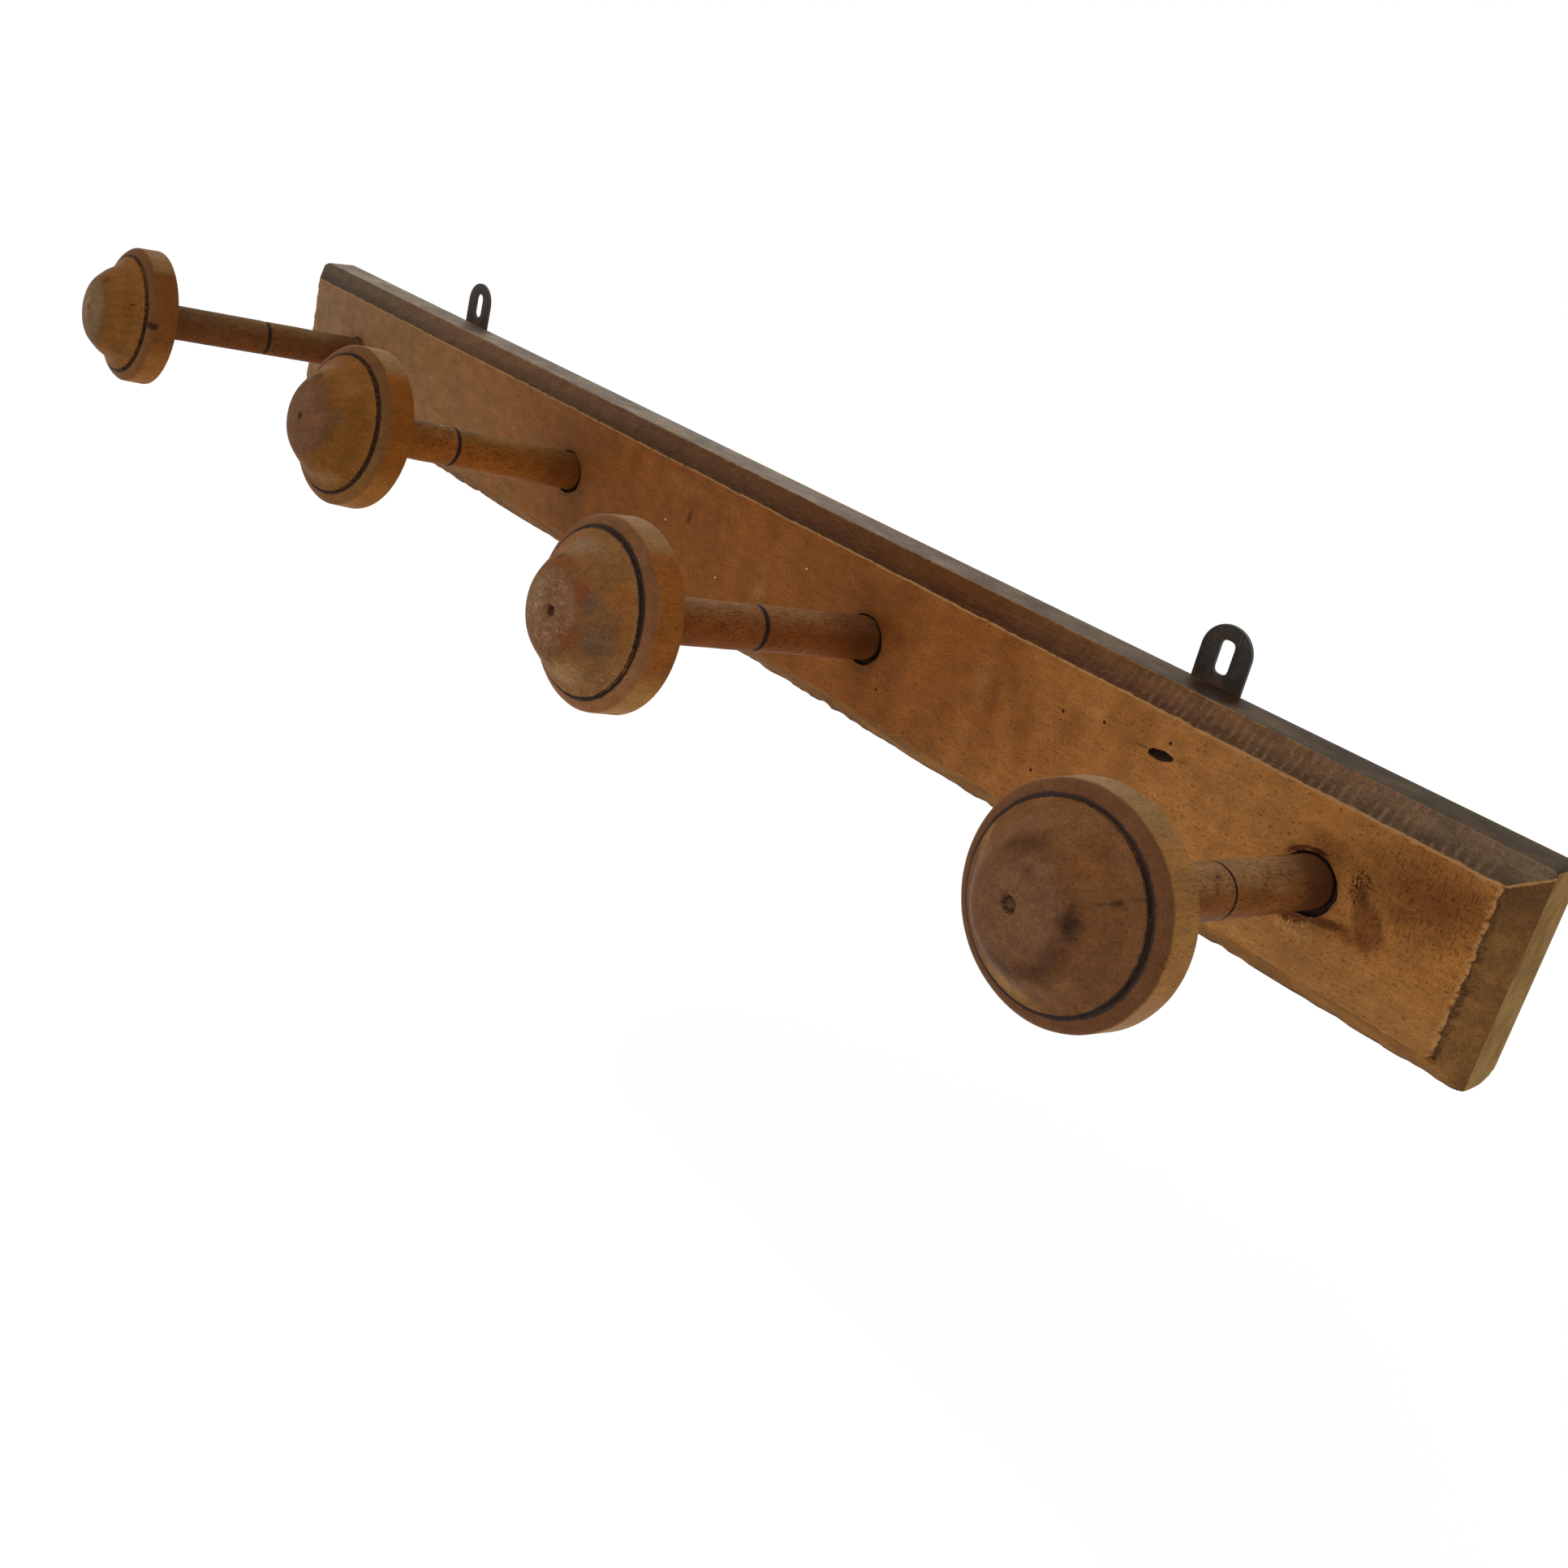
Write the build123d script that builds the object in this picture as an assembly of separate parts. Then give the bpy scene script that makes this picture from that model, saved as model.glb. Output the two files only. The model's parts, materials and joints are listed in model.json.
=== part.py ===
from build123d import *
import os

# Wall peg rail: a bevelled board that carries four turned mushroom pegs and hangs on two slotted steel plates.
# Millimetres and degrees. The origin is the middle of the board's back face. +X runs along the board, to the
# right for someone in front of it, +Y points into the wall and +Z is up, so the pegs stand out towards -Y.

# Board: one plank, with a bevel planed round its front face.
PEG_SPACING = 200.0
END_MARGIN = 61.8  # from an outer peg to the end of the board
BOARD_HEIGHT = 73.6
BOARD_THICKNESS = 24.2
TOP_BEVEL_WIDTH = 7.9  # a bevel's width lies in the front face, its depth runs back from that face
TOP_BEVEL_DEPTH = 9.3
BOTTOM_BEVEL_WIDTH = 8.5
BOTTOM_BEVEL_DEPTH = 8.7
END_BEVEL_WIDTH = 9.3
END_BEVEL_DEPTH = 7.3

# Pegs, numbered from the left end. They were marked out, bored and turned by eye, so each has its own values:
PEG_DRIFT = (-1.1, 2.6, 2.5, -0.8)  # of its root along the board, to the right of the even spacing
PEG_RISE = (0.0, 1.0, 0.2, 1.5)  # of its root above the middle of the board's height
PEG_LEAN_UP = (5.5, 9.4, 6.4, 6.3)
PEG_LEAN_RIGHT = (-1.1, 2.8, -2.0, -0.5)
PEG_PULL = (0.7, -2.5, 3.0, -0.8)  # how much further than the common length its stem stands out
RING_PLACE = (55.1, 69.8, 57.7, 54.8)  # of its ring, from the board's face
KNOB_EXTRA = (0.0, 0.5, 1.3, 0.0)  # of its knob's diameter beyond the common one

# Stem: a turned dowel, glued into a blind hole in the board and into another in the knob.
STEM_DIAMETER = 17.2
STEM_LENGTH = 114.7  # in the open, from the board's face to the back of the knob
BOARD_SOCKET_DEPTH = 18.0
KNOB_SOCKET_DEPTH = 18.0
STEM_END_CHAMFER = 1.0
RING_WIDTH = 1.8
RING_DEPTH = 0.4
GLUE_GAP = 0.1  # between a stem's side and its socket
END_GAP = 0.5  # left for glue at the bottom of a socket
MOUTH_GAP = 0.9  # the socket's worn mouth is this much wider all round
MOUTH_DEPTH = 2.0
MOUTH_DROP = 0.3  # of the mouth's centre below the stem's

# Knob: a turned mushroom. Its rim ends in a rounded lip, a burnt groove parts the lip from the dome, and the
# dome's foot flares out to the groove. A centre mark from the lathe is left at the top of the dome.
KNOB_DIAMETER = 65.8
RIM_WIDTH = 10.4
RIM_TAPER = 0.4  # the rim's front edge lies this much further in than its back edge
RIM_ROUND = 1.0
LIP_WIDTH = 4.0
LIP_RISE = 3.2
LIP_CROWN_HEIGHT = 0.6  # of the lip's bulge over its chord
GROOVE_WIDTH = 1.5
GROOVE_DEPTH = 0.9
DOME_HEIGHT = 16.6
DOME_OUTLINE = ((0.89, 0.115), (0.71, 0.53), (0.51, 0.85), (0.25, 0.975))  # shares of foot radius and height
MARK_DIAMETER = 2.6
MARK_DEPTH = 2.2

# Hanging plates: flat steel with a round head and an upright slot, let into the back of the board.
PLATE_INSET = {"left": 135.0, "right": 125.7}  # from the middle of a plate to the nearer end of the board
PLATE_WIDTH = 19.5
PLATE_THICKNESS = 1.0
PLATE_RISE = 21.3  # of its head above the board
PLATE_LEG = 36.0  # behind the board
PLATE_FOOT_RADIUS = 2.0
SLOT_WIDTH = 5.3
SLOT_LENGTH = 11.7
SLOT_TOP_MARGIN = 5.3  # from the top of the slot to the top of the plate
RECESS_GAP = 0.2

# Screws: slotted and countersunk, one above the other in each plate's leg.
SCREW_DROP = {"upper": 9.0, "lower": 27.0}  # below the board's top face
SCREW_DIAMETER = 3.5
SCREW_LENGTH = 16.0
SCREW_POINT_LENGTH = 3.5
HEAD_DIAMETER = 6.4
HEAD_SLOT_WIDTH = 0.9
HEAD_SLOT_DEPTH = 0.7
SCREW_GAP = 0.1  # between a screw and the plate or the wood

PEG_COUNT = len(PEG_LEAN_UP)
BOARD_LENGTH = (PEG_COUNT - 1) * PEG_SPACING + 2 * END_MARGIN
BOARD_TOP = BOARD_HEIGHT / 2
STEM_RADIUS = STEM_DIAMETER / 2
HEAD_HEIGHT = (HEAD_DIAMETER - SCREW_DIAMETER) / 2  # a right-angled cone


def peg_place(index):
    """A peg's own frame: origin where its axis meets the board's front face, +Z out along the peg."""
    x = (index - (PEG_COUNT - 1) / 2) * PEG_SPACING + PEG_DRIFT[index]
    turn = Rot(0, 0, PEG_LEAN_RIGHT[index]) * Rot(90 - PEG_LEAN_UP[index], 0, 0)
    return Pos(x, -BOARD_THICKNESS, PEG_RISE[index]) * turn


def open_length(index):
    """A stem's length between the board's face and the back of its knob."""
    return STEM_LENGTH + PEG_PULL[index]


def plate_middle(side):
    """Where a plate's middle lies along the board."""
    from_middle = BOARD_LENGTH / 2 - PLATE_INSET[side]
    return -from_middle if side == "left" else from_middle


def turned(outline):
    """The solid that a closed outline of (radius, height) edges sweeps round the Z axis."""
    return revolve(make_face(outline), Axis.Z)


def at(radius, height):
    return Vector(radius, 0, height)


def socket_cutter(index):
    """The hole for a stem, with its worn mouth, reaching past the board's front face."""
    bore = Cylinder(STEM_RADIUS + GLUE_GAP, 2 * BOARD_SOCKET_DEPTH)
    place = peg_place(index)
    mouth = Cylinder(STEM_RADIUS + MOUTH_GAP, 2 * MOUTH_DEPTH)
    mouth_middle = place.position - Vector(0, 0, MOUTH_DROP)
    return place * bore + Pos(mouth_middle) * Rot(90, 0, 0) * mouth


def recess_cutter(side):
    """The pocket for a plate's leg, open at the back and at the top of the board."""
    pocket = Box(
        PLATE_WIDTH + 2 * RECESS_GAP,
        2 * PLATE_THICKNESS,
        2 * (PLATE_LEG + RECESS_GAP),
    )
    return Pos(plate_middle(side), 0, BOARD_TOP) * pocket


def screw_place(side, level):
    """A screw's own frame: origin at the middle of its head's face, +Z out of the wood."""
    return Pos(plate_middle(side), 0, BOARD_TOP - SCREW_DROP[level]) * Rot(-90, 0, 0)


def screw_hole_cutter():
    """The hole for one screw in its own frame: a countersink over a plain bore past the screw's point."""
    sink = Cone(
        SCREW_DIAMETER / 2 + SCREW_GAP,
        HEAD_DIAMETER / 2 + SCREW_GAP,
        HEAD_HEIGHT,
        align=(Align.CENTER, Align.CENTER, Align.MAX),
    )
    bore = Cylinder(
        SCREW_DIAMETER / 2 + SCREW_GAP,
        SCREW_LENGTH + SCREW_GAP,
        align=(Align.CENTER, Align.CENTER, Align.MAX),
    )
    return sink + bore


def bevelled_blank():
    """The plank: its section along X and its plan along Z, each with the front bevels, cross each other."""
    bottom = -BOARD_TOP
    front = -BOARD_THICKNESS
    section = Polyline(
        (0, 0, bottom),
        (0, 0, BOARD_TOP),
        (0, front + TOP_BEVEL_DEPTH, BOARD_TOP),
        (0, front, BOARD_TOP - TOP_BEVEL_WIDTH),
        (0, front, bottom + BOTTOM_BEVEL_WIDTH),
        (0, front + BOTTOM_BEVEL_DEPTH, bottom),
        close=True,
    )
    end = BOARD_LENGTH / 2
    plan = Polyline(
        (-end, 0, 0),
        (end, 0, 0),
        (end, front + END_BEVEL_DEPTH, 0),
        (end - END_BEVEL_WIDTH, front, 0),
        (-end + END_BEVEL_WIDTH, front, 0),
        (-end, front + END_BEVEL_DEPTH, 0),
        close=True,
    )
    along = extrude(make_face(section), BOARD_LENGTH / 2, dir=(1, 0, 0), both=True)
    upright = extrude(make_face(plan), BOARD_HEIGHT / 2, dir=(0, 0, 1), both=True)
    return along & upright


def board():
    blank = bevelled_blank()
    for index in range(PEG_COUNT):
        blank -= socket_cutter(index)
    for side in PLATE_INSET:
        blank -= recess_cutter(side)
        for level in SCREW_DROP:
            blank -= screw_place(side, level) * screw_hole_cutter()
    return blank


def peg_stem(index):
    """A dowel with chamfered ends and a shallow V ring, in its peg's frame."""
    inner = -(BOARD_SOCKET_DEPTH - END_GAP)
    outer = open_length(index) + KNOB_SOCKET_DEPTH - END_GAP
    neck = STEM_RADIUS - STEM_END_CHAMFER
    ring = RING_PLACE[index]
    outline = Polyline(
        at(0, inner),
        at(neck, inner),
        at(STEM_RADIUS, inner + STEM_END_CHAMFER),
        at(STEM_RADIUS, ring - RING_WIDTH / 2),
        at(STEM_RADIUS - RING_DEPTH, ring),
        at(STEM_RADIUS, ring + RING_WIDTH / 2),
        at(STEM_RADIUS, outer - STEM_END_CHAMFER),
        at(neck, outer),
        at(0, outer),
        close=True,
    )
    return peg_place(index) * turned(outline)


def rim_and_lip(diameter):
    """The outline from the flat back over the rim's rounded back edge and the bulging lip to the groove."""
    back = diameter / 2
    front = back - RIM_TAPER
    soft = RIM_ROUND * (1 - 0.5**0.5)  # how far a quarter round's middle lies inside its corner
    flat_end = at(back - RIM_ROUND, 0)
    side_start = at(back, RIM_ROUND)
    side_end = at(front, RIM_WIDTH)
    lip_end = at(front - LIP_WIDTH, RIM_WIDTH + LIP_RISE)
    lip_chord = lip_end - side_end
    lip_outward = at(lip_chord.Z, -lip_chord.X).normalized()
    lip_middle = (side_end + lip_end) / 2 + lip_outward * LIP_CROWN_HEIGHT
    edges = [
        Line(at(STEM_RADIUS + GLUE_GAP, 0), flat_end),
        ThreePointArc(flat_end, at(back - soft, soft), side_start),
        Line(side_start, side_end),
        ThreePointArc(side_end, lip_middle, lip_end),
    ]
    return edges, lip_end


def groove(start):
    """A V cut square into a slope that falls at 45 degrees."""
    step = GROOVE_WIDTH * 0.5**0.5
    depth = GROOVE_DEPTH * 0.5**0.5
    end = start + at(-step, step)
    bottom = (start + end) / 2 - at(depth, depth)
    return [Line(start, bottom), Line(bottom, end)], end


def dome(foot):
    """The dome's flank from its foot to the edge of the centre mark, and the mark's cone down to the axis."""
    points = [at(foot.X * out, foot.Z + DOME_HEIGHT * up) for out, up in DOME_OUTLINE]
    apex = foot.Z + DOME_HEIGHT
    mark_edge = at(MARK_DIAMETER / 2, apex)
    mark_bottom = at(0, apex - MARK_DEPTH)
    flank = Spline(foot, *points, mark_edge, tangents=[(-1, 0, 0.5), (-1, 0, 0)])
    return [flank, Line(mark_edge, mark_bottom)], mark_bottom


def peg_knob(index):
    """The mushroom, standing on the outer end of its stem."""
    rim_edges, lip_end = rim_and_lip(KNOB_DIAMETER + KNOB_EXTRA[index])
    groove_edges, foot = groove(lip_end)
    dome_edges, mark_bottom = dome(foot)
    socket_radius = STEM_RADIUS + GLUE_GAP
    socket = Polyline(
        mark_bottom,
        at(0, KNOB_SOCKET_DEPTH),
        at(socket_radius, KNOB_SOCKET_DEPTH),
        at(socket_radius, 0),
    )
    solid = turned([*rim_edges, *groove_edges, *dome_edges, *socket.edges()])
    return peg_place(index) * Pos(0, 0, open_length(index)) * solid


def hanger_plate(side):
    """Flat plate with its back face in the plane of the board's back."""
    head_radius = PLATE_WIDTH / 2
    top = BOARD_TOP + PLATE_RISE
    foot = BOARD_TOP - PLATE_LEG
    head_middle = top - head_radius
    strap = Box(
        PLATE_WIDTH, PLATE_THICKNESS, head_middle - foot, align=(Align.CENTER, Align.MAX, Align.MIN)
    )
    foot_edges = strap.edges().filter_by(Axis.Y).group_by(Axis.Z)[0]
    strap = Pos(0, 0, foot) * fillet(foot_edges, PLATE_FOOT_RADIUS)
    head = Pos(0, -PLATE_THICKNESS / 2, head_middle) * Rot(90, 0, 0) * Cylinder(head_radius, PLATE_THICKNESS)
    slot_middle = top - SLOT_TOP_MARGIN - SLOT_LENGTH / 2
    slot_face = Plane.XZ * Rot(0, 0, 90) * SlotOverall(SLOT_LENGTH, SLOT_WIDTH)
    slot = Pos(0, 0, slot_middle) * extrude(slot_face, PLATE_THICKNESS, both=True)
    plate = Pos(plate_middle(side), 0, 0) * (strap + head - slot)
    for level in SCREW_DROP:
        plate -= screw_place(side, level) * screw_hole_cutter()
    return plate


def hanger_screw(side, level):
    """A slotted countersunk head flush with the plate, a plain shank and a point."""
    shank_radius = SCREW_DIAMETER / 2
    outline = Polyline(
        at(0, 0),
        at(HEAD_DIAMETER / 2, 0),
        at(shank_radius, -HEAD_HEIGHT),
        at(shank_radius, -(SCREW_LENGTH - SCREW_POINT_LENGTH)),
        at(0, -SCREW_LENGTH),
        close=True,
    )
    slot = Box(2 * HEAD_DIAMETER, HEAD_SLOT_WIDTH, 2 * HEAD_SLOT_DEPTH)
    return screw_place(side, level) * (turned(outline) - slot)


def save(solid, name):
    solid.label = name
    export_step(solid, os.path.join("parts", name + ".step"))


os.makedirs("parts", exist_ok=True)
save(board(), "board")
for number in range(1, PEG_COUNT + 1):
    save(peg_stem(number - 1), f"peg_stem_{number}")
    save(peg_knob(number - 1), f"peg_knob_{number}")
for plate_side in PLATE_INSET:
    save(hanger_plate(plate_side), f"hanger_plate_{plate_side}")
    for screw_level in SCREW_DROP:
        save(hanger_screw(plate_side, screw_level), f"hanger_screw_{plate_side}_{screw_level}")
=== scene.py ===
import json
import math
from functools import reduce
from operator import or_
import bmesh
import bpy
from mathutils import Matrix, Vector, geometry, noise


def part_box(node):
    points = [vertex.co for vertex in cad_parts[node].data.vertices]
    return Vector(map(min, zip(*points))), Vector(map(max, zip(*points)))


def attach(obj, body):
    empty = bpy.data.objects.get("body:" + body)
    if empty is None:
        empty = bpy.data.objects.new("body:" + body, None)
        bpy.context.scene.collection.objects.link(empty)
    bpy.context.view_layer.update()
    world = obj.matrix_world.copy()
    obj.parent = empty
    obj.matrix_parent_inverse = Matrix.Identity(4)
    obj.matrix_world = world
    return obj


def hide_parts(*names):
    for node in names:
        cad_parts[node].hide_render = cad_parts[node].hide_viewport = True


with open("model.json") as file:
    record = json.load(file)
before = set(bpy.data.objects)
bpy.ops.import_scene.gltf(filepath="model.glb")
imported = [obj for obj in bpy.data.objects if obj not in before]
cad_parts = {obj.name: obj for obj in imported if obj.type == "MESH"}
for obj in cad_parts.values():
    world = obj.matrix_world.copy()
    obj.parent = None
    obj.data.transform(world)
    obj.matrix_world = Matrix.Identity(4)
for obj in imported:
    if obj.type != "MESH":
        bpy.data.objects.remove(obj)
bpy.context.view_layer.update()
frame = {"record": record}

# The board: one old beech plank, sawn, planed and stained, with a bevel planed round its front face. It is
# bored for the four pegs, which are glued in, and let in at the bare back for the hanging plates.
BOARD_LOW, BOARD_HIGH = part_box("board")
BOARD_END = BOARD_HIGH.x
BOARD_TOP = BOARD_HIGH.z
FACE = BOARD_LOW.y  # the front face's place along Y
TOP_BEVEL_WIDTH = 0.0079  # a bevel's width lies in the front face, its depth runs back from that face
TOP_BEVEL_DEPTH = 0.0093
BOTTOM_BEVEL_WIDTH = 0.0085
BOTTOM_BEVEL_DEPTH = 0.0087
END_BEVEL_WIDTH = 0.0093
END_BEVEL_DEPTH = 0.0073
TOP_ARRIS = BOARD_TOP - TOP_BEVEL_WIDTH
BOTTOM_ARRIS = BOTTOM_BEVEL_WIDTH - BOARD_TOP
END_ARRIS = BOARD_END - END_BEVEL_WIDTH
CORNER_ROUND = 0.0025
ARRIS_ROUND = 0.00035
SHARP = math.radians(30)  # edges that turn further than this are planed round
SURFACES = (  # the finish of each side of the board, a point in that side and which way it faces
    ("face", (0, FACE, 0), (0, -1, 0)),
    ("top_bevel", (0, FACE, TOP_ARRIS), (0, -TOP_BEVEL_WIDTH, TOP_BEVEL_DEPTH)),
    ("top", (0, 0, BOARD_TOP), (0, 0, 1)),
    ("bottom_bevel", (0, FACE, BOTTOM_ARRIS), (0, -BOTTOM_BEVEL_WIDTH, -BOTTOM_BEVEL_DEPTH)),
    ("bottom", (0, 0, -BOARD_TOP), (0, 0, -1)),
    ("end_bevel", (-END_ARRIS, FACE, 0), (-END_BEVEL_DEPTH, -END_BEVEL_WIDTH, 0)),
    ("end_bevel", (END_ARRIS, FACE, 0), (END_BEVEL_DEPTH, -END_BEVEL_WIDTH, 0)),
    ("end", (-BOARD_END, 0, 0), (-1, 0, 0)),
    ("end", (BOARD_END, 0, 0), (1, 0, 0)),
    ("back", (0, 0, 0), (0, 1, 0)),
)
FINISHES = (*dict.fromkeys(name for name, point, outward in SURFACES), "bore")
GRID = 0.0018  # the mesh's own grid, which lets wear move the surface
FINE_GRID = 0.0010
FINE_FROM = 0.150
DEEP_GRID = 0.0036
BACK_GRID = 0.030
ARRIS_ROWS = (-0.0012, -0.0005, 0.0005, 0.0012, 0.0022)
SAW_SLACK = 0.000003  # corners closer than this after a cut are one corner
PEGS = (1, 2, 3, 4)
SIDES = ("left", "right")
LEVELS = ("upper", "lower")
STEM_RADIUS = 0.0086
SOCKET_DEPTH = 0.018
SOCKET_GAP = 0.0001
MOUTH_GAP = {1: 0.0011, 2: 0.0012, 3: 0.0013, 4: 0.0016}
MOUTH_DEPTH = 0.0020
MOUTH_SHIFT = Vector((0.0004, 0, -0.0005))
MOUTH_TEAR = 0.00045
MOUTH_TOOTH = 0.0030
PLATE_GAP = 0.0002
SCREW_BORE = 0.0023
VOID_PLACE = (0.2387, FACE, 0.0152)  # a dead knot has dropped out of the face
VOID_SIZE = (0.0049, 0.0032, 0.0018)
VOID_TURN = math.radians(-7)
VOID_TEAR = 0.10  # of its size
VOID_TOOTH = 0.0022

mounts = {mount["name"]: mount for mount in frame["record"]["mounts"]}


def open_length(number):
    """A stem's length between the board's face and its knob."""
    return mounts[f"peg_{number}"]["dims"]["length_mm"] / 1000


def peg_place(number):
    """A peg's own frame: origin where its axis meets the board's face, +Z out along the peg, +Y mostly up."""
    mount = mounts[f"peg_{number}"]
    out = Vector(mount["axis"]).normalized()
    side = Vector((0, 0, 1)).cross(out).normalized()
    root = Vector(mount["pos_m"]) - out * open_length(number) / 2
    return Matrix.Translation(root) @ Matrix((side, out.cross(side), out)).transposed().to_4x4()


def block_between(shape, low, high):
    """Adds a square block between two corners to a shape."""
    size = Matrix.Diagonal((*(high - low), 1))
    bmesh.ops.create_cube(shape, size=1, matrix=Matrix.Translation((low + high) / 2) @ size)


def plane_off(block, point, outward):
    """Planes the block down to a plane and closes the cut."""
    everything = [*block.verts, *block.edges, *block.faces]
    cut = bmesh.ops.bisect_plane(block, geom=everything, plane_co=point, plane_no=outward, clear_outer=True)
    rim = [part for part in cut["geom_cut"] if isinstance(part, bmesh.types.BMEdge)]
    bmesh.ops.contextual_create(block, geom=rim)


def soften(block, edges, size, steps):
    """Rounds edges over, and returns the faces of the rounding."""
    return bmesh.ops.bevel(
        block, geom=edges, offset=size, segments=steps, profile=0.5, affect="EDGES", material=-1
    )["faces"]


def between(low, high, step):
    """Evenly spaced places between low and high."""
    count = max(1, round((high - low) / step))
    return [low + (high - low) * i / count for i in range(1, count)]


def grid_lines(block, axis, places, back=False):
    """Lays lines of the mesh's grid at places along an axis, on the back or on everything else."""
    along = Vector((axis == "x", axis == "y", axis == "z"))
    for place in places:
        faces = [face for face in block.faces if (face.normal.y > 0.9) == back]
        edges = dict.fromkeys(edge for face in faces for edge in face.edges)
        verts = dict.fromkeys(vert for edge in edges for vert in edge.verts)
        bmesh.ops.bisect_plane(block, geom=[*verts, *edges, *faces], plane_co=along * place, plane_no=along)


def board_blank():
    """The plank with its bevels, rounded at arrises and corners, on a grid fine enough to show wear."""
    block = bmesh.new()
    block_between(block, BOARD_LOW, BOARD_HIGH)
    corners = [e for e in block.edges if abs(e.verts[0].co.y - e.verts[1].co.y) > CORNER_ROUND]
    soften(block, corners, CORNER_ROUND, 4)
    for name, point, outward in SURFACES:
        if name.endswith("bevel"):
            plane_off(block, point, outward)
    block.normal_update()
    soften(block, [e for e in block.edges if e.calc_face_angle(0) > SHARP], ARRIS_ROUND, 2)
    block.normal_update()
    grid_lines(block, "x", between(-BOARD_END, FINE_FROM, GRID))
    grid_lines(block, "x", between(FINE_FROM, BOARD_END, FINE_GRID))
    grid_lines(block, "x", [way * (END_ARRIS + row) for way in (-1, 1) for row in ARRIS_ROWS])
    grid_lines(block, "z", between(-BOARD_TOP, BOARD_TOP, GRID))
    grid_lines(block, "z", [TOP_ARRIS - row for row in ARRIS_ROWS])
    grid_lines(block, "z", [BOTTOM_ARRIS + row for row in ARRIS_ROWS])
    grid_lines(block, "y", between(FACE, 0, DEEP_GRID))
    grid_lines(block, "x", between(-BOARD_END, BOARD_END, BACK_GRID), back=True)
    return block


def solid(name, made):
    """The object of a finished bmesh."""
    bmesh.ops.recalc_face_normals(made, faces=made.faces)
    mesh = bpy.data.meshes.new(name)
    made.to_mesh(mesh)
    made.free()
    piece = bpy.data.objects.new(name, mesh)
    bpy.context.scene.collection.objects.link(piece)
    return piece


def cut_out(piece, cutter):
    """Takes a cutter's shape out of a piece."""
    cutter = solid("cutter", cutter)
    saw = piece.modifiers.new("saw", "BOOLEAN")
    saw.operation = "DIFFERENCE"
    saw.solver = "EXACT"
    saw.object = cutter
    sawn = piece.evaluated_get(bpy.context.evaluated_depsgraph_get())
    mesh = bpy.data.meshes.new_from_object(sawn)
    shape = bmesh.new()
    shape.from_mesh(mesh)
    bmesh.ops.remove_doubles(shape, verts=shape.verts, dist=SAW_SLACK)
    shape.to_mesh(mesh)
    shape.free()
    piece.modifiers.clear()
    piece.data = mesh
    bpy.data.objects.remove(cutter)


def bore(cutter, radii, low, high, place, steps=72):
    """Adds a round bore to a cutter, between two heights of a place's own Z and with a radius at each."""
    made = bmesh.ops.create_cone(
        cutter,
        cap_ends=True,
        segments=steps,
        radius1=radii[0],
        radius2=radii[1],
        depth=high - low,
        matrix=place @ Matrix.Translation((0, 0, (low + high) / 2)),
    )
    return made["verts"]


def tear(point, size):
    """A ragged value, mostly between minus and plus one, whose steps are about the size given."""
    return noise.noise(point / size) * 1.3 + noise.noise(point / size * 2.7) * 0.6


def pocket_cutter():
    """The torn mouths of the sockets, the pockets behind the hanging plates, and the dropped knot."""
    cutter = bmesh.new()
    for number in PEGS:
        middle = peg_place(number).translation + MOUTH_SHIFT
        place = Matrix.Translation(middle) @ Matrix.Rotation(math.pi / 2, 4, "X")
        radius = STEM_RADIUS + MOUTH_GAP[number]
        for vert in bore(cutter, (radius, radius), -MOUTH_DEPTH, MOUTH_DEPTH, place):
            outward = (vert.co - middle) * Vector((1, 0, 1))
            vert.co += outward.normalized() * MOUTH_TEAR * tear(vert.co, MOUTH_TOOTH)
    for side in SIDES:
        low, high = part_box(f"hanger_plate_{side}")
        low -= Vector((PLATE_GAP, 0, PLATE_GAP))
        high += Vector((PLATE_GAP, -low.y, PLATE_GAP))
        block_between(cutter, low, high)
    turn = Matrix.Rotation(VOID_TURN, 4, "Y") @ Matrix.Diagonal((*VOID_SIZE, 1))
    place = Matrix.Translation(VOID_PLACE) @ turn
    made = bmesh.ops.create_uvsphere(cutter, u_segments=40, v_segments=24, radius=1, matrix=place)
    for vert in made["verts"]:
        vert.co += (vert.co - Vector(VOID_PLACE)) * VOID_TEAR * tear(vert.co, VOID_TOOTH)
    return cutter


def bore_cutter():
    """The blind bores for the stems and the screws."""
    cutter = bmesh.new()
    socket = STEM_RADIUS + SOCKET_GAP
    for number in PEGS:
        bore(cutter, (socket, socket), -SOCKET_DEPTH, SOCKET_DEPTH, peg_place(number))
    for side in SIDES:
        for level in LEVELS:
            low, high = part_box(f"hanger_screw_{side}_{level}")
            place = Matrix.Translation(((low.x + high.x) / 2, 0, (low.z + high.z) / 2))
            place @= Matrix.Rotation(math.pi / 2, 4, "X")
            bore(cutter, (SCREW_BORE, SCREW_BORE), low.y, -low.y, place, steps=24)
    return cutter


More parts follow.
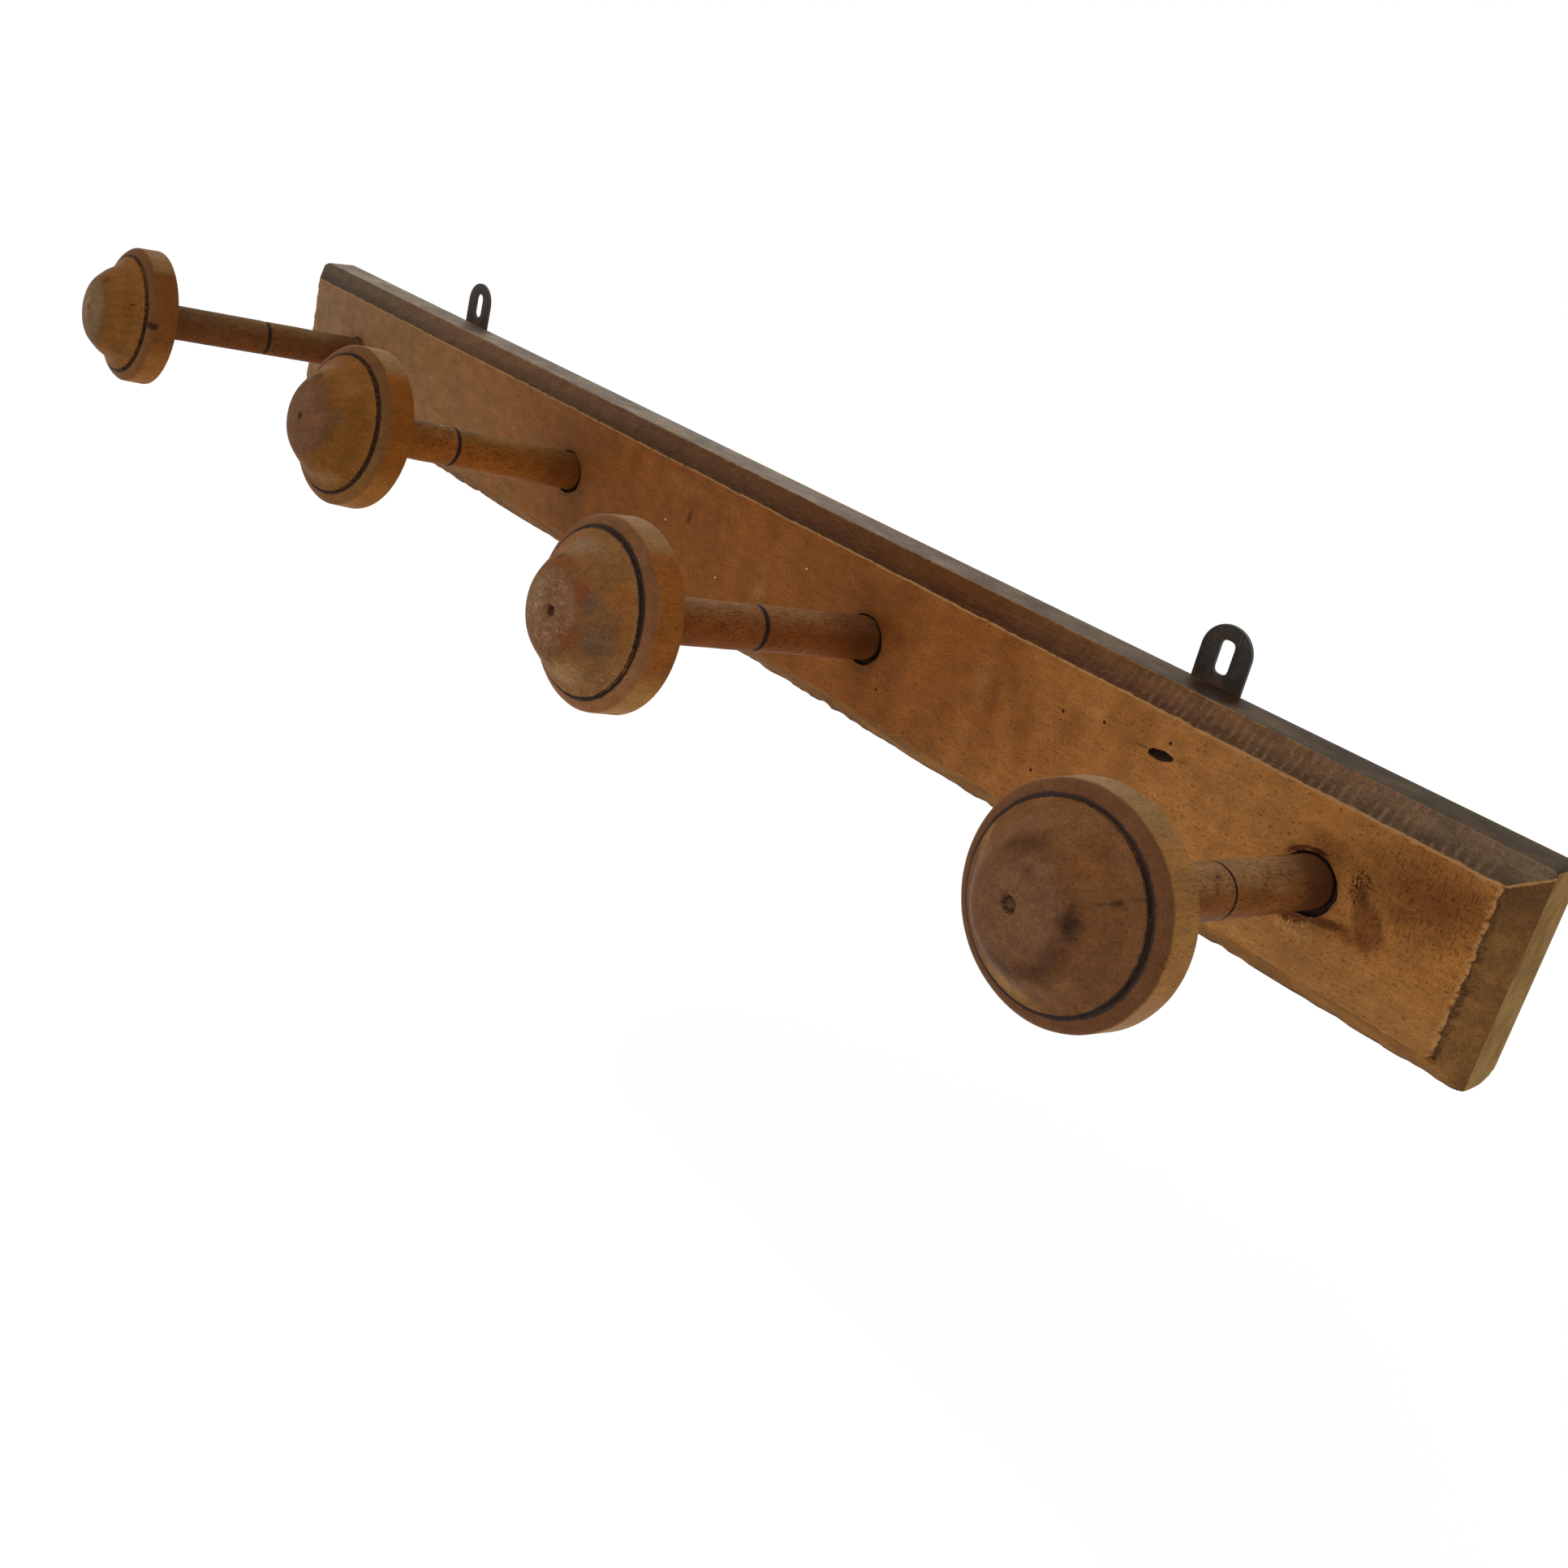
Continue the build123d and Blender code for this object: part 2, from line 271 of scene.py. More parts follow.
BOTTOM_WAVE = 0.0007  # how far the bottom's edges wander, and over what run
BOTTOM_RUN = 0.055
BOTTOM_TOOTH = 0.008
BOTTOM_REACH = 0.006  # a reach is how far from its edge a kind of wear fades out
ARRIS_WAVE = 0.00022
ARRIS_REACH = 0.0025
ARRIS_SAG = 0.011
ARRIS_TOOTH = 0.004
END_SPLINTER = 0.0006
END_REACH = 0.0018
END_DEPTH = 0.0020
END_TEETH = (0.0013, 0.0045)
CHIPS = (  # place and radius of the larger chips off the arrises and corners, and how far each pushes them in
    ((0.3527, FACE, -0.0275), 0.0030, (0, 0.0013, 0)),
    ((0.3614, -0.0165, 0.0352), 0.0014, (0, 0.0008, 0)),
    ((0.2925, FACE, 0.0085), 0.0030, (0, 0.0012, 0)),
    ((0.2985, FACE, 0.0108), 0.0030, (0, 0.0010, 0)),
    ((0.3605, -0.0165, -0.0364), 0.0030, (-0.0004, 0.0002, 0.0003)),
    ((0.3612, 0.0, -0.0362), 0.0060, (-0.0010, 0, 0.0008)),
)
CHIP_TOOTH = 0.001


def near(distance, reach):
    """One at no distance, falling smoothly to nothing at the reach."""
    share = max(0.0, 1 - abs(distance) / reach)
    return share * share * (3 - 2 * share)


def bottom_wear(x, y, z):
    """The bottom's edges were never planed true, so they wander, in long waves and short ones."""
    long_wave = max(0.2, 1 + 1.6 * noise.noise(Vector((x / BOTTOM_RUN, 2, 0))))
    short_wave = max(0.0, 0.3 + tear(Vector((x, y * 0.3, 7)), BOTTOM_TOOTH))
    return Vector((0, 0, BOTTOM_WAVE * long_wave * short_wave * near(z + BOARD_TOP, BOTTOM_REACH)))


def top_arris_wear(x, y, z):
    """Hands have worn the arris between the face and the top bevel down and back."""
    run = ARRIS_WAVE * near(z - TOP_ARRIS, ARRIS_REACH) * near(y - FACE, ARRIS_REACH)
    back = max(0.0, 0.4 + 0.5 * tear(Vector((x, 5, 0)), ARRIS_TOOTH))
    return Vector((0, run * back, -run * tear(Vector((x, 3, 0)), ARRIS_SAG)))


def end_splinters(x, y, z):
    """The plane tore splinters out of the arris of an end bevel as it ran out over the end grain."""
    way = 1 if x > 0 else -1
    run = END_SPLINTER * near(way * x - END_ARRIS, END_REACH) * near(y - FACE, END_DEPTH)
    splinter = 0.3 + 0.7 * sum(tear(Vector((way, y, z)), tooth) for tooth in END_TEETH)
    return Vector((-way * splinter, 0.6 * max(0.0, splinter), 0)) * run


def chips(point):
    """The larger chips, each a push on the points round it."""
    total = Vector()
    for place, radius, push in CHIPS:
        reach = near((point - Vector(place)).length, radius)
        total += Vector(push) * reach * (1 + 0.5 * tear(point, CHIP_TOOTH))
    return total


def worn(point):
    """Where wear has left a point of the board's surface."""
    return point + bottom_wear(*point) + top_arris_wear(*point) + end_splinters(*point) + chips(point)


SKIN = 0.0001  # a face further in than this that faces no side of the board belongs to a bore
SQUARELY = 0.8  # the least that a face has to face like its side


def finish_of(face):
    """Which finish a face of the board gets: that of the side it faces like, unless it lies in a bore."""
    facing, depth = [], []
    for name, point, outward in SURFACES:
        outward = Vector(outward).normalized()
        depth.append((face.center - Vector(point)).dot(outward))
        facing.append((face.normal.dot(outward), name))
    squareness, side = max(facing)
    x, z = abs(face.center.x), abs(face.center.z)
    on_corner = min(x - BOARD_END, z - BOARD_TOP) > -CORNER_ROUND
    inside = max(depth) < -ARRIS_ROUND or squareness < SQUARELY and max(depth) < -SKIN
    return "bore" if inside and not on_corner else side


board = solid("backboard", board_blank())
cut_out(board, pocket_cutter())
cut_out(board, bore_cutter())
for face in board.data.polygons:
    face.material_index = FINISHES.index(finish_of(face))
planed = board.data.attributes.new("planed", "FLOAT_VECTOR", "POINT")  # each point's place before it wore
for index, vert in enumerate(board.data.vertices):
    planed.data[index].vector = vert.co
    vert.co = worn(vert.co)


def smooth(piece, sharpest=35):
    """Shades a piece smooth, but for edges sharper than so many degrees."""
    piece.data.polygons.foreach_set("use_smooth", [True] * len(piece.data.polygons))
    piece.data.set_sharp_from_angle(angle=math.radians(sharpest))


smooth(board)


def put(socket, value):
    """Gives a node's input a value, or joins it to a pattern that sets it."""
    if isinstance(value, Pattern):
        value.tree.links.new(value.socket, socket)
    elif socket.type == "RGBA":
        socket.default_value = (*value, 1)
    else:
        socket.default_value = value


class Pattern:
    """What a node gives at each point of a surface: a place, a colour, or a number such as a mask.

    A mask runs from nothing to one. Two are multiplied where both have to be, and joined by | where either
    will do. All places and sizes are in metres.
    """

    FACTOR, FIRST, SECOND, RESULT = 0, 6, 7, 2  # a colour mix node's own sockets

    def __init__(self, tree, kind, inputs=(), output=0, **settings):
        self.tree = tree
        self.node = tree.nodes.new("ShaderNode" + kind)
        for name, value in settings.items():
            setattr(self.node, name, value)
        for socket, value in dict(inputs).items():
            put(self.node.inputs[socket], value)
        self.socket = self.node.outputs[output]

    def math(self, kind, other=0.0):
        return Pattern(self.tree, "Math", {0: self, 1: other}, operation=kind)

    def __add__(self, other):
        return self.math("ADD", other)

    def __sub__(self, other):
        return self.math("SUBTRACT", other)

    def __rsub__(self, other):
        return Pattern(self.tree, "Math", {0: other, 1: self}, operation="SUBTRACT")

    def __mul__(self, other):
        return self.math("MULTIPLY", other)

    def __truediv__(self, other):
        return self.math("DIVIDE", other)

    def __or__(self, other):
        return self.math("MAXIMUM", other)

    def __abs__(self):
        return self.math("ABSOLUTE")

    def laid(self, centre=(0, 0, 0), turn=(0, 0, 0), size=(1, 1, 1)):
        """A place seen from a centre, in turned axes, and in sizes instead of metres."""
        inputs = {"Vector": self, "Location": centre, "Rotation": turn, "Scale": size}
        return Pattern(self.tree, "Mapping", inputs, vector_type="TEXTURE")

    def axis(self, name):
        """One coordinate of a place."""
        return Pattern(self.tree, "SeparateXYZ", {0: self}, name)

    def length(self):
        """How far a place is from its origin."""
        return Pattern(self.tree, "VectorMath", {0: self}, "Value", operation="LENGTH")

    def cloud(self, size, detail=2.0, rough=0.5, warp=0.0):
        """Noise round a half, in patches of the size given along X, Y and Z."""
        inputs = {"Vector": self.laid(size=size), "Scale": 1.0, "Detail": detail}
        inputs |= {"Roughness": rough, "Distortion": warp}
        return Pattern(self.tree, "TexNoise", inputs)

    def step(self, low, high):
        """Nothing below low, one above high, and smooth between them. It falls where low is the higher."""
        inputs = {"Value": self, "From Min": low, "From Max": high}
        return Pattern(self.tree, "MapRange", inputs, interpolation_type="SMOOTHSTEP")

    def scale(self, low, high):
        """A value from nothing to one, stretched to run from low to high."""
        return Pattern(self.tree, "MapRange", {"Value": self, "To Min": low, "To Max": high})

    def strayed(self, ragged, far):
        """A value that strays by so much either way, as a cloud has it."""
        return self + ragged.scale(-far, far)

    def line(self, middle, half_width, soft=0.5):
        """A line where a value is near its middle."""
        return abs(self - middle).step(half_width, half_width * (1 - soft))

    def spot(self, centre, size, turn=(0, 0, 0), soft=0.4, ragged=0.3, tooth=0.003):
        """A spot of the size given, with a soft and ragged edge."""
        bite = self.cloud((tooth,) * 3, detail=3.0, rough=0.6)
        return self.laid(centre, turn, size).length().strayed(bite, ragged).step(1.0, 1 - soft)

    def tint(self, colour, tone, kind="MIX"):
        """A colour, turned into another tone where this mask is."""
        inputs = {self.FACTOR: self, self.FIRST: colour, self.SECOND: tone}
        return Pattern(self.tree, "Mix", inputs, self.RESULT, data_type="RGBA", blend_type=kind)

    def shade(self, colour, low, high):
        """A colour times a factor, which goes from low to high as this value goes from nothing to one."""
        factor = self.scale(low, high)
        grey = Pattern(self.tree, "CombineColor", dict.fromkeys(("Red", "Green", "Blue"), factor))
        inputs = {self.FACTOR: 1.0, self.FIRST: colour, self.SECOND: grey}
        return Pattern(self.tree, "Mix", inputs, self.RESULT, data_type="RGBA", blend_type="MULTIPLY")

    def vary(self, colour, depth):
        """A colour that this value makes darker and lighter by the same share."""
        return self.shade(colour, 1 - depth, 1 + depth)

    def ramp(self, tones):
        """Colours along a value, each at its own place."""
        low, high = tones[0][0], tones[-1][0]
        along = Pattern(self.tree, "MapRange", {"Value": self, "From Min": low, "From Max": high})
        made = Pattern(self.tree, "ValToRGB", {"Fac": along})
        stops = made.node.color_ramp.elements
        while len(stops) < len(tones):
            stops.new(1.0)
        for stop, (place, colour) in zip(stops, tones):
            stop.position = (place - low) / (high - low)
            stop.color = (*colour, 1)
        return made


class Finish:
    """One finish: a material, its shader, and the places on a piece that its patterns can be laid on."""

    def __init__(self, name, specular=0.5, metallic=0.0, coat_roughness=0.2):
        self.material = bpy.data.materials.new(name)
        self.material.use_nodes = True
        self.tree = self.material.node_tree
        self.shader = self.tree.nodes["Principled BSDF"].inputs
        put(self.shader["Specular IOR Level"], specular)
        put(self.shader["Metallic"], metallic)
        put(self.shader["Coat Roughness"], coat_roughness)

    def place(self):
        """A point's place on the finished piece."""
        return Pattern(self.tree, "TexCoord", output="Object")

    def planed_place(self):
        """A point's place on the board before it wore."""
        return Pattern(self.tree, "Attribute", output="Vector", attribute_name="planed")

    def done(self, colour, rough, relief, depth, coat=0.0):
        """Joins the patterns to the shader. Relief from nothing to one stands up by the depth."""
        bump = Pattern(self.tree, "Bump", {"Height": relief, "Distance": depth, "Strength": 1.0})
        put(self.shader["Base Color"], colour)
        put(self.shader["Roughness"], rough)
        put(self.shader["Coat Weight"], coat)
        put(self.shader["Normal"], bump)
        return self.material


def grain(axis, along, across):
    """The size of a mark that lies along the grain."""
    return tuple(along if name == axis else across for name in "XYZ")


FLECK = (0.050, 0.019, 0.008)
BEECH_RELIEF = 0.00015


def beech(where, axis, colour, contrast=1.0):
    """Gives a stain the blotches, fibre and short dark flecks of old beech. Returns colour and relief."""
    blotch = where.cloud(grain(axis, 0.009, 0.006), detail=5.0, rough=0.62)
    fibre = where.cloud(grain(axis, 0.010, 0.0005), detail=3.0, rough=0.6)
    mote = where.cloud((0.0009,) * 3, detail=4.0, rough=0.8)
    fleck = where.cloud(grain(axis, 0.0021, 0.00045), detail=1.0).step(0.63, 0.72)
    for mark, depth in ((blotch, 0.55), (fibre, 0.30), (mote, 0.85)):
        colour = mark.vary(colour, depth * contrast)
    return (fleck * 0.6).tint(colour, FLECK), fibre * 0.5 + mote * 0.4 - fleck * 0.4


FACE_RELIEF = 0.00012
FACE_TONES = (  # the stain of the face, at places along the board
    (-0.36, (0.225, 0.122, 0.052)),
    (-0.18, (0.215, 0.096, 0.031)),
    (-0.06, (0.182, 0.059, 0.012)),
    (0.16, (0.222, 0.073, 0.015)),
    (0.26, (0.312, 0.128, 0.033)),
    (0.36, (0.290, 0.116, 0.027)),
)
FADED = (0.335, 0.152, 0.045)
SMEARED = (0.285, 0.125, 0.036)
SMEARS = (  # place, half width and height, and strength of the paler smears
    ((0.041, -0.004), (0.007, 0.014), 0.5),
    ((0.162, 0.008), (0.006, 0.016), 0.5),
    ((0.160, -0.012), (0.005, 0.010), 0.4),
    ((0.272, 0.014), (0.018, 0.010), 0.3),
    ((-0.020, 0.021), (0.018, 0.006), 0.4),
    ((-0.222, 0.021), (0.016, 0.007), 0.3),
)
DARKENING = (0.27, 0.16, 0.11)  # what a dark patch leaves of the colour below it
DARK_PATCHES = (  # place along X and Z, half width and height, turn in degrees, softness and strength
    # The first three rows darken the face round the second and third pegs, and the fifth to the right of the
    # fourth.
    ((-0.096, 0.010), (0.040, 0.022), 0, 0.9, 0.18),
    ((0.108, 0.004), (0.034, 0.026), 0, 0.9, 0.18),
    ((0.112, 0.005), (0.015, 0.011), 0, 0.9, 0.30),
    ((0.205, 0.010), (0.013, 0.010), 0, 0.9, 0.28),
    ((0.3340, 0.0150), (0.0300, 0.0180), 0, 0.9, 0.62),
    ((0.182, 0.006), (0.012, 0.016), 0, 0.9, 0.30),
    ((0.3300, 0.0060), (0.0080, 0.0045), 0, 0.8, 0.30),
    ((0.3030, 0.0150), (0.0130, 0.0085), 0, 0.9, 0.42),
    ((0.2930, 0.0098), (0.0050, 0.0011), -36, 0.4, 0.90),
    ((0.2995, 0.0121), (0.0042, 0.0009), -6, 0.4, 0.90),
    ((0.3015, 0.0106), (0.0050, 0.0020), 14, 0.5, 0.60),
    ((0.3165, 0.0075), (0.0055, 0.0070), 10, 0.8, 0.35),
    ((0.3172, 0.0062), (0.0024, 0.0060), -32, 0.70, 0.45),
    ((0.3212, -0.0022), (0.0056, 0.0102), -24, 0.40, 0.60),
    ((0.3256, -0.0012), (0.0018, 0.0066), -24, 0.80, 0.40),
    ((0.3180, -0.0076), (0.0078, 0.0038), -6, 0.90, 0.55),
    ((0.3105, -0.0070), (0.0095, 0.0027), -16, 0.75, 0.90),
    ((0.2990, -0.0110), (0.0062, 0.0022), -18, 0.50, 0.85),
    ((-0.0087, 0.0096), (0.0021, 0.0046), 5, 0.80, 0.72),
    ((0.2465, 0.0165), (0.0035, 0.0009), -7, 0.80, 0.50),
    ((0.2315, 0.0152), (0.0040, 0.0009), -3, 0.80, 0.60),
)
CURLS = (  # place, size and colour of two patches where the plane tore the fibres into curls
    ((0.3150, FACE, 0.0085), (0.0036, 1, 0.0078), (0.052, 0.016, 0.006)),
    ((0.3010, FACE, -0.0145), (0.0085, 1, 0.0046), (0.420, 0.200, 0.065)),
)
GRIME = (0.080, 0.030, 0.010)
MOUTH_GRIME_AND_SHADE = 0.0125  # the radius of the grime and painted shade round a socket
NEAR_BLACK = (0.020, 0.010, 0.007)
PITS = ((0.1984, 0.0128), (0.2152, 0.0162), (0.1929, -0.0123), (0.1155, -0.0158), (0.2410, 0.0205))
PIT_SIZE = 0.0008
SPECKS = ((0.0652, 0.0141), (-0.0235, 0.0034), (0.0150, -0.0088))
SPECK_SIZE = 0.0005
PAINT = (0.62, 0.58, 0.50)
BARE = (0.340, 0.170, 0.062)  # wood that wear has laid bare on an arris
SPLINTERED = (0.400, 0.200, 0.072)


def spots_at(where, places, size):
    """Small spots of one size on the board's face."""
    return reduce(or_, [where.spot((along, FACE, up), (size, 1, size)) for along, up in places])


def face_stain(where, x, z, blotch):
    """The stain itself: blotched, faded low on the right, and paler in a few smears."""
    colour = blotch.vary(x.strayed(blotch, 0.05).ramp(FACE_TONES), 0.32)
    lower_right = z.step(-0.004, -0.026) * x.step(0.10, 0.28)
    colour = (lower_right * 0.60).tint(colour, FADED)
    for (along, up), (width, height), strength in SMEARS:
        smear = where.spot((along, FACE, up), (width, 1, height), soft=0.95, ragged=0.5, tooth=width)
        colour = (smear * strength).tint(colour, SMEARED)
    return colour


def face_marks(where, x, z, colour):
    """Dark patches, strokes, curled fibres, grime and painted shade round the sockets, pits and chips."""
    for (along, up), (width, height), turn, soft, strength in DARK_PATCHES:
        turned_by = (0, math.radians(turn), 0)
        tooth = min(width, height) / 2
        spot = where.spot((along, FACE, up), (width, 1, height), turned_by, soft, ragged=0.4, tooth=tooth)
        colour = (spot * strength).tint(colour, DARKENING, "MULTIPLY")
    strokes = where.cloud((0.00065, 1, 0.0034), detail=2.0, rough=0.6, warp=0.3).step(0.53, 0.64)
    strokes *= x.step(0.295, 0.325) * z.step(-0.020, 0.002)
    colour = (strokes * 0.50).tint(colour, DARKENING, "MULTIPLY")
    curl = where.cloud((0.0020, 1, 0.0030), detail=2.0, rough=0.5, warp=0.8).line(0.5, 0.055)
    for place, size, ink in CURLS:
        colour = (curl * where.spot(place, size)).tint(colour, ink)
    for number in PEGS:
        mouth = peg_place(number).translation
        # Grime, and painted shade where the stem meets the board.
        ring = where.spot(mouth, (MOUTH_GRIME_AND_SHADE, 1, MOUTH_GRIME_AND_SHADE), ragged=0.25)
        colour = (ring * 0.6).tint(colour, GRIME)
    colour = spots_at(where, PITS, PIT_SIZE).tint(colour, NEAR_BLACK)
    for place, radius, push in CHIPS[:2]:
        colour = where.spot(place, (radius * 0.6, 1, radius * 0.6)).tint(colour, NEAR_BLACK)
    return colour


def worn_line(gap, half_width, keep):
    """A broken line of bare wood where the gap to an arris is small."""
    place = Pattern(gap.tree, "TexCoord", output="Object")
    ragged = place.cloud((0.004, 0.0012, 0.0012), detail=4.0, rough=0.7)
    line = gap.strayed(ragged, half_width * 1.6).line(0.0, half_width, soft=0.7)
    return line * ragged.step(keep + 0.12, keep - 0.12)


def face_arrises(x, z):
    """Bare wood along the face's upper and lower arrises, and most of it at the upper right."""
    upper = worn_line(TOP_ARRIS - z, 0.0006, 0.70) * x.step(-0.10, 0.26).scale(0.30, 1.0)
    upper_right = worn_line(TOP_ARRIS - z, 0.0010, 0.80) * x.step(0.20, 0.28)
    lower = worn_line(z - BOTTOM_ARRIS, 0.0005, 0.5)
    return upper | upper_right | lower * 0.5


def splintered_ends(where, x, colour):
    """Pale splinters, with grime in the notches between them, along the arrises of the end bevels."""
    gap = END_ARRIS - abs(x)
    splinters = where.cloud((0.0030, 1, 0.0014), detail=4.0, rough=0.75)
    torn = gap.strayed(splinters, -0.0060).step(0.0016, 0.0004) * gap.step(0.0060, 0.0030)
    colour = (torn * 0.7).tint(colour, SPLINTERED)
    notch = gap.strayed(splinters, 0.0036).step(0.0005, -0.0001)
    return (notch * 0.80).tint(colour, GRIME)


def face_finish():
    finish = Finish("stained beech face", specular=0.05)
    where = finish.planed_place()
    x, z = where.axis("X"), where.axis("Z")
    blotch = where.cloud((0.016, 1, 0.040), detail=3.0, rough=0.55, warp=0.4)
    colour, relief = beech(where, "X", face_stain(where, x, z, blotch), contrast=0.8)
    colour = face_marks(where, x, z, colour)
    colour = face_arrises(x, z).tint(colour, BARE)
    colour = splintered_ends(where, x, colour)
    colour = spots_at(where, SPECKS, SPECK_SIZE).tint(colour, PAINT)
    return finish.done(colour, blotch.scale(0.42, 0.62), relief, FACE_RELIEF)


def mitre_line(where):
    """The worn arris where the top bevel meets an end bevel, which is where a point is near both bevels."""
    back = where.axis("Y") - FACE
    along = abs(where.axis("X")) - END_ARRIS - back * (END_BEVEL_WIDTH / END_BEVEL_DEPTH)
    up = where.axis("Z") - TOP_ARRIS - back * (TOP_BEVEL_WIDTH / TOP_BEVEL_DEPTH)
    return worn_line(abs(along) | abs(up), 0.0007, 0.80)


TOP_BEVEL_TONES = (
    (-0.36, (0.061, 0.041, 0.022)),
    (-0.20, (0.099, 0.045, 0.019)),
    (-0.05, (0.070, 0.029, 0.010)),
    (0.14, (0.072, 0.021, 0.002)),
    (0.26, (0.102, 0.046, 0.018)),
    (0.36, (0.104, 0.067, 0.038)),
)
SAW_PITCH = 0.0034
SAW_SLANT = 50.0  # how many teeth further along the saw stood, for each metre up
SAW_MARK = (0.230, 0.135, 0.080)
SCRATCHED = (0.210, 0.120, 0.062)


def saw_teeth(where, x, z, gaps):
    """The slanting marks that the saw's teeth left towards the board's right end, with gaps in them."""
    wander = where.cloud((0.016, 0.010, 0.010), detail=3.0, rough=0.6)
    teeth = ((x / SAW_PITCH).strayed(wander, 0.6) + z * SAW_SLANT).math("PINGPONG", 0.5)
    teeth = teeth.step(0.20, 0.42) * x.step(0.17, 0.27) * x.step(0.356, 0.342)
    return teeth * gaps.step(0.38, 0.62)


def top_bevel_finish():
    finish = Finish("stained beech top bevel", specular=0.04)
    where = finish.planed_place()
    x, z = where.axis("X"), where.axis("Z")
    colour = z.step(TOP_ARRIS + 0.0012, TOP_ARRIS + 0.0052).shade(x.ramp(TOP_BEVEL_TONES), 0.72, 1.25)
    colour, relief = beech(where, "X", colour, contrast=1.1)
    gaps = where.cloud((0.005, 0.003, 0.003), detail=4.0, rough=0.7)
    teeth = saw_teeth(where, x, z, gaps)
    colour = (teeth * 0.50).tint(colour, SAW_MARK)
    scratch = where.cloud((0.006, 0.0003, 0.0003), detail=3.0, rough=0.7).step(0.56, 0.68)
    colour = (scratch * 0.45).tint(colour, SCRATCHED)
    lower = worn_line(z - TOP_ARRIS, 0.0004, 0.66)
    upper = worn_line(BOARD_TOP - z, 0.0004, 0.58) * x.step(0.30, 0.25).scale(0.25, 0.60)
    colour = (lower | mitre_line(where) | upper).tint(colour, BARE)
    return finish.done(colour, gaps.scale(0.40, 0.60), relief + teeth * 1.5, BEECH_RELIEF)


def plain_finish(name, tones, specular=0.015, contrast=1.0, size=0.010, dirt_and_reflection=None, streaks=0.0):
    """The stain of a side that shows no more than its grain, its blotches and its own dark marks, if it has
    any: soiling, and on the top a painted reflection of the hanging plates.
    """
    finish = Finish(name, specular=specular)
    where = finish.planed_place()
    patch = where.cloud((size * 2, size, size), detail=4.0, rough=0.6)
    colour = patch.step(0.32, 0.68).vary(where.axis("X").ramp(tones), -0.22)
    if streaks:
        streak = where.cloud(grain("X", 0.180, 0.0042), detail=4.0, rough=0.6, warp=0.2).step(0.34, 0.66)
        colour = streak.vary(colour, streaks)
    colour, relief = beech(where, "X", colour, contrast)
    if dirt_and_reflection:
        colour = dirt_and_reflection(where, colour)
    return finish.done(colour, patch.scale(0.40, 0.62), relief, BEECH_RELIEF)


DARK_COVER = 0.85  # how much of the wood a dark mark hides: soiling on the bottom and ends, the painted reflection of the plates on the top


def dirty_foot(where, colour):
    """A dark broken line along the lowest edge."""
    ragged = where.cloud((0.006, 0.0015, 0.0015), detail=4.0, rough=0.7)
    low = where.axis("Z").strayed(ragged, 0.0022).step(-BOARD_TOP + 0.0012, -BOARD_TOP + 0.0004)
    return (low * DARK_COVER).tint(colour, NEAR_BLACK)


def dirty_end(where, colour):
    """Dirt that thickens towards the top and lies under the splinters, with the mitre worn bare."""
    patch = where.cloud((0.006,) * 3, detail=3.0, rough=0.6)
    high = where.axis("Z").strayed(patch, 0.012).step(-0.005, 0.040)
    ragged = where.cloud((0.004, 0.004, 0.0030), detail=5.0, rough=0.7)
    under = (abs(where.axis("X")) - END_ARRIS).strayed(ragged, 0.0040).step(0.0018, 0.0002)
    colour = ((high * 0.55 | under * 0.70) * DARK_COVER).tint(colour, NEAR_BLACK)
    return mitre_line(where).tint(colour, BARE)


# Painted reflection of each hanging plate on the top, in front of it.
PLATE_REFLECTION = {"left": (0.0090, 0.60), "right": (0.0050, 1.0)}  # how far to the plate's right, and strength
PLATE_REFLECTION_SIZE = (0.0135, 0.0105, 1)
PLATE_REFLECTION_DEPTH = -0.0065


def plate_reflections(where, colour):
    """A painted reflection of the hanging plates: dark patches on the top in front of them."""
    feet = []
    for side, (shift, strength) in PLATE_REFLECTION.items():
        low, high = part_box(f"hanger_plate_{side}")
        foot = ((low.x + high.x) / 2 + shift, PLATE_REFLECTION_DEPTH, BOARD_TOP)
        feet.append(where.spot(foot, PLATE_REFLECTION_SIZE, soft=0.45) * strength)
    return (reduce(or_, feet) * DARK_COVER).tint(colour, NEAR_BLACK)


END_PALE, END_DARK = (0.312, 0.178, 0.047), (0.220, 0.112, 0.024)
# Dust, and painted shade inside the bores.
DUST_AND_SHADE_DARK, DUST_AND_SHADE_PALE = (0.022, 0.010, 0.006), (0.060, 0.028, 0.014)


def end_finish():
    """The end grain, sawn across, pale and dull, with blotches, pores and saw marks in it."""
    finish = Finish("end grain", specular=0.06)
    where = finish.planed_place()
    patch = where.cloud((1, 0.006, 0.012), detail=4.0, rough=0.6)
    pore = where.cloud((0.001, 0.0006, 0.0003), detail=3.0, rough=0.6)
    saw = where.cloud((1, 0.020, 0.0005), detail=2.0)
    colour = saw.vary(pore.vary(patch.step(0.35, 0.65).tint(END_PALE, END_DARK), 0.4), 0.25)
    return finish.done(colour, 0.65, pore + saw, FACE_RELIEF)


def bore_finish():
    """Wood that the drill left raw, with glue and a hundred years of dust in it, painted almost black: dust,
    and painted shade inside the bores, pockets and knot hole.
    """
    finish = Finish("raw bore", specular=0.1)
    dust = finish.place().cloud((0.002,) * 3, detail=4.0, rough=0.6)
    return finish.done(dust.tint(DUST_AND_SHADE_DARK, DUST_AND_SHADE_PALE), 0.85, dust, 0.0002)
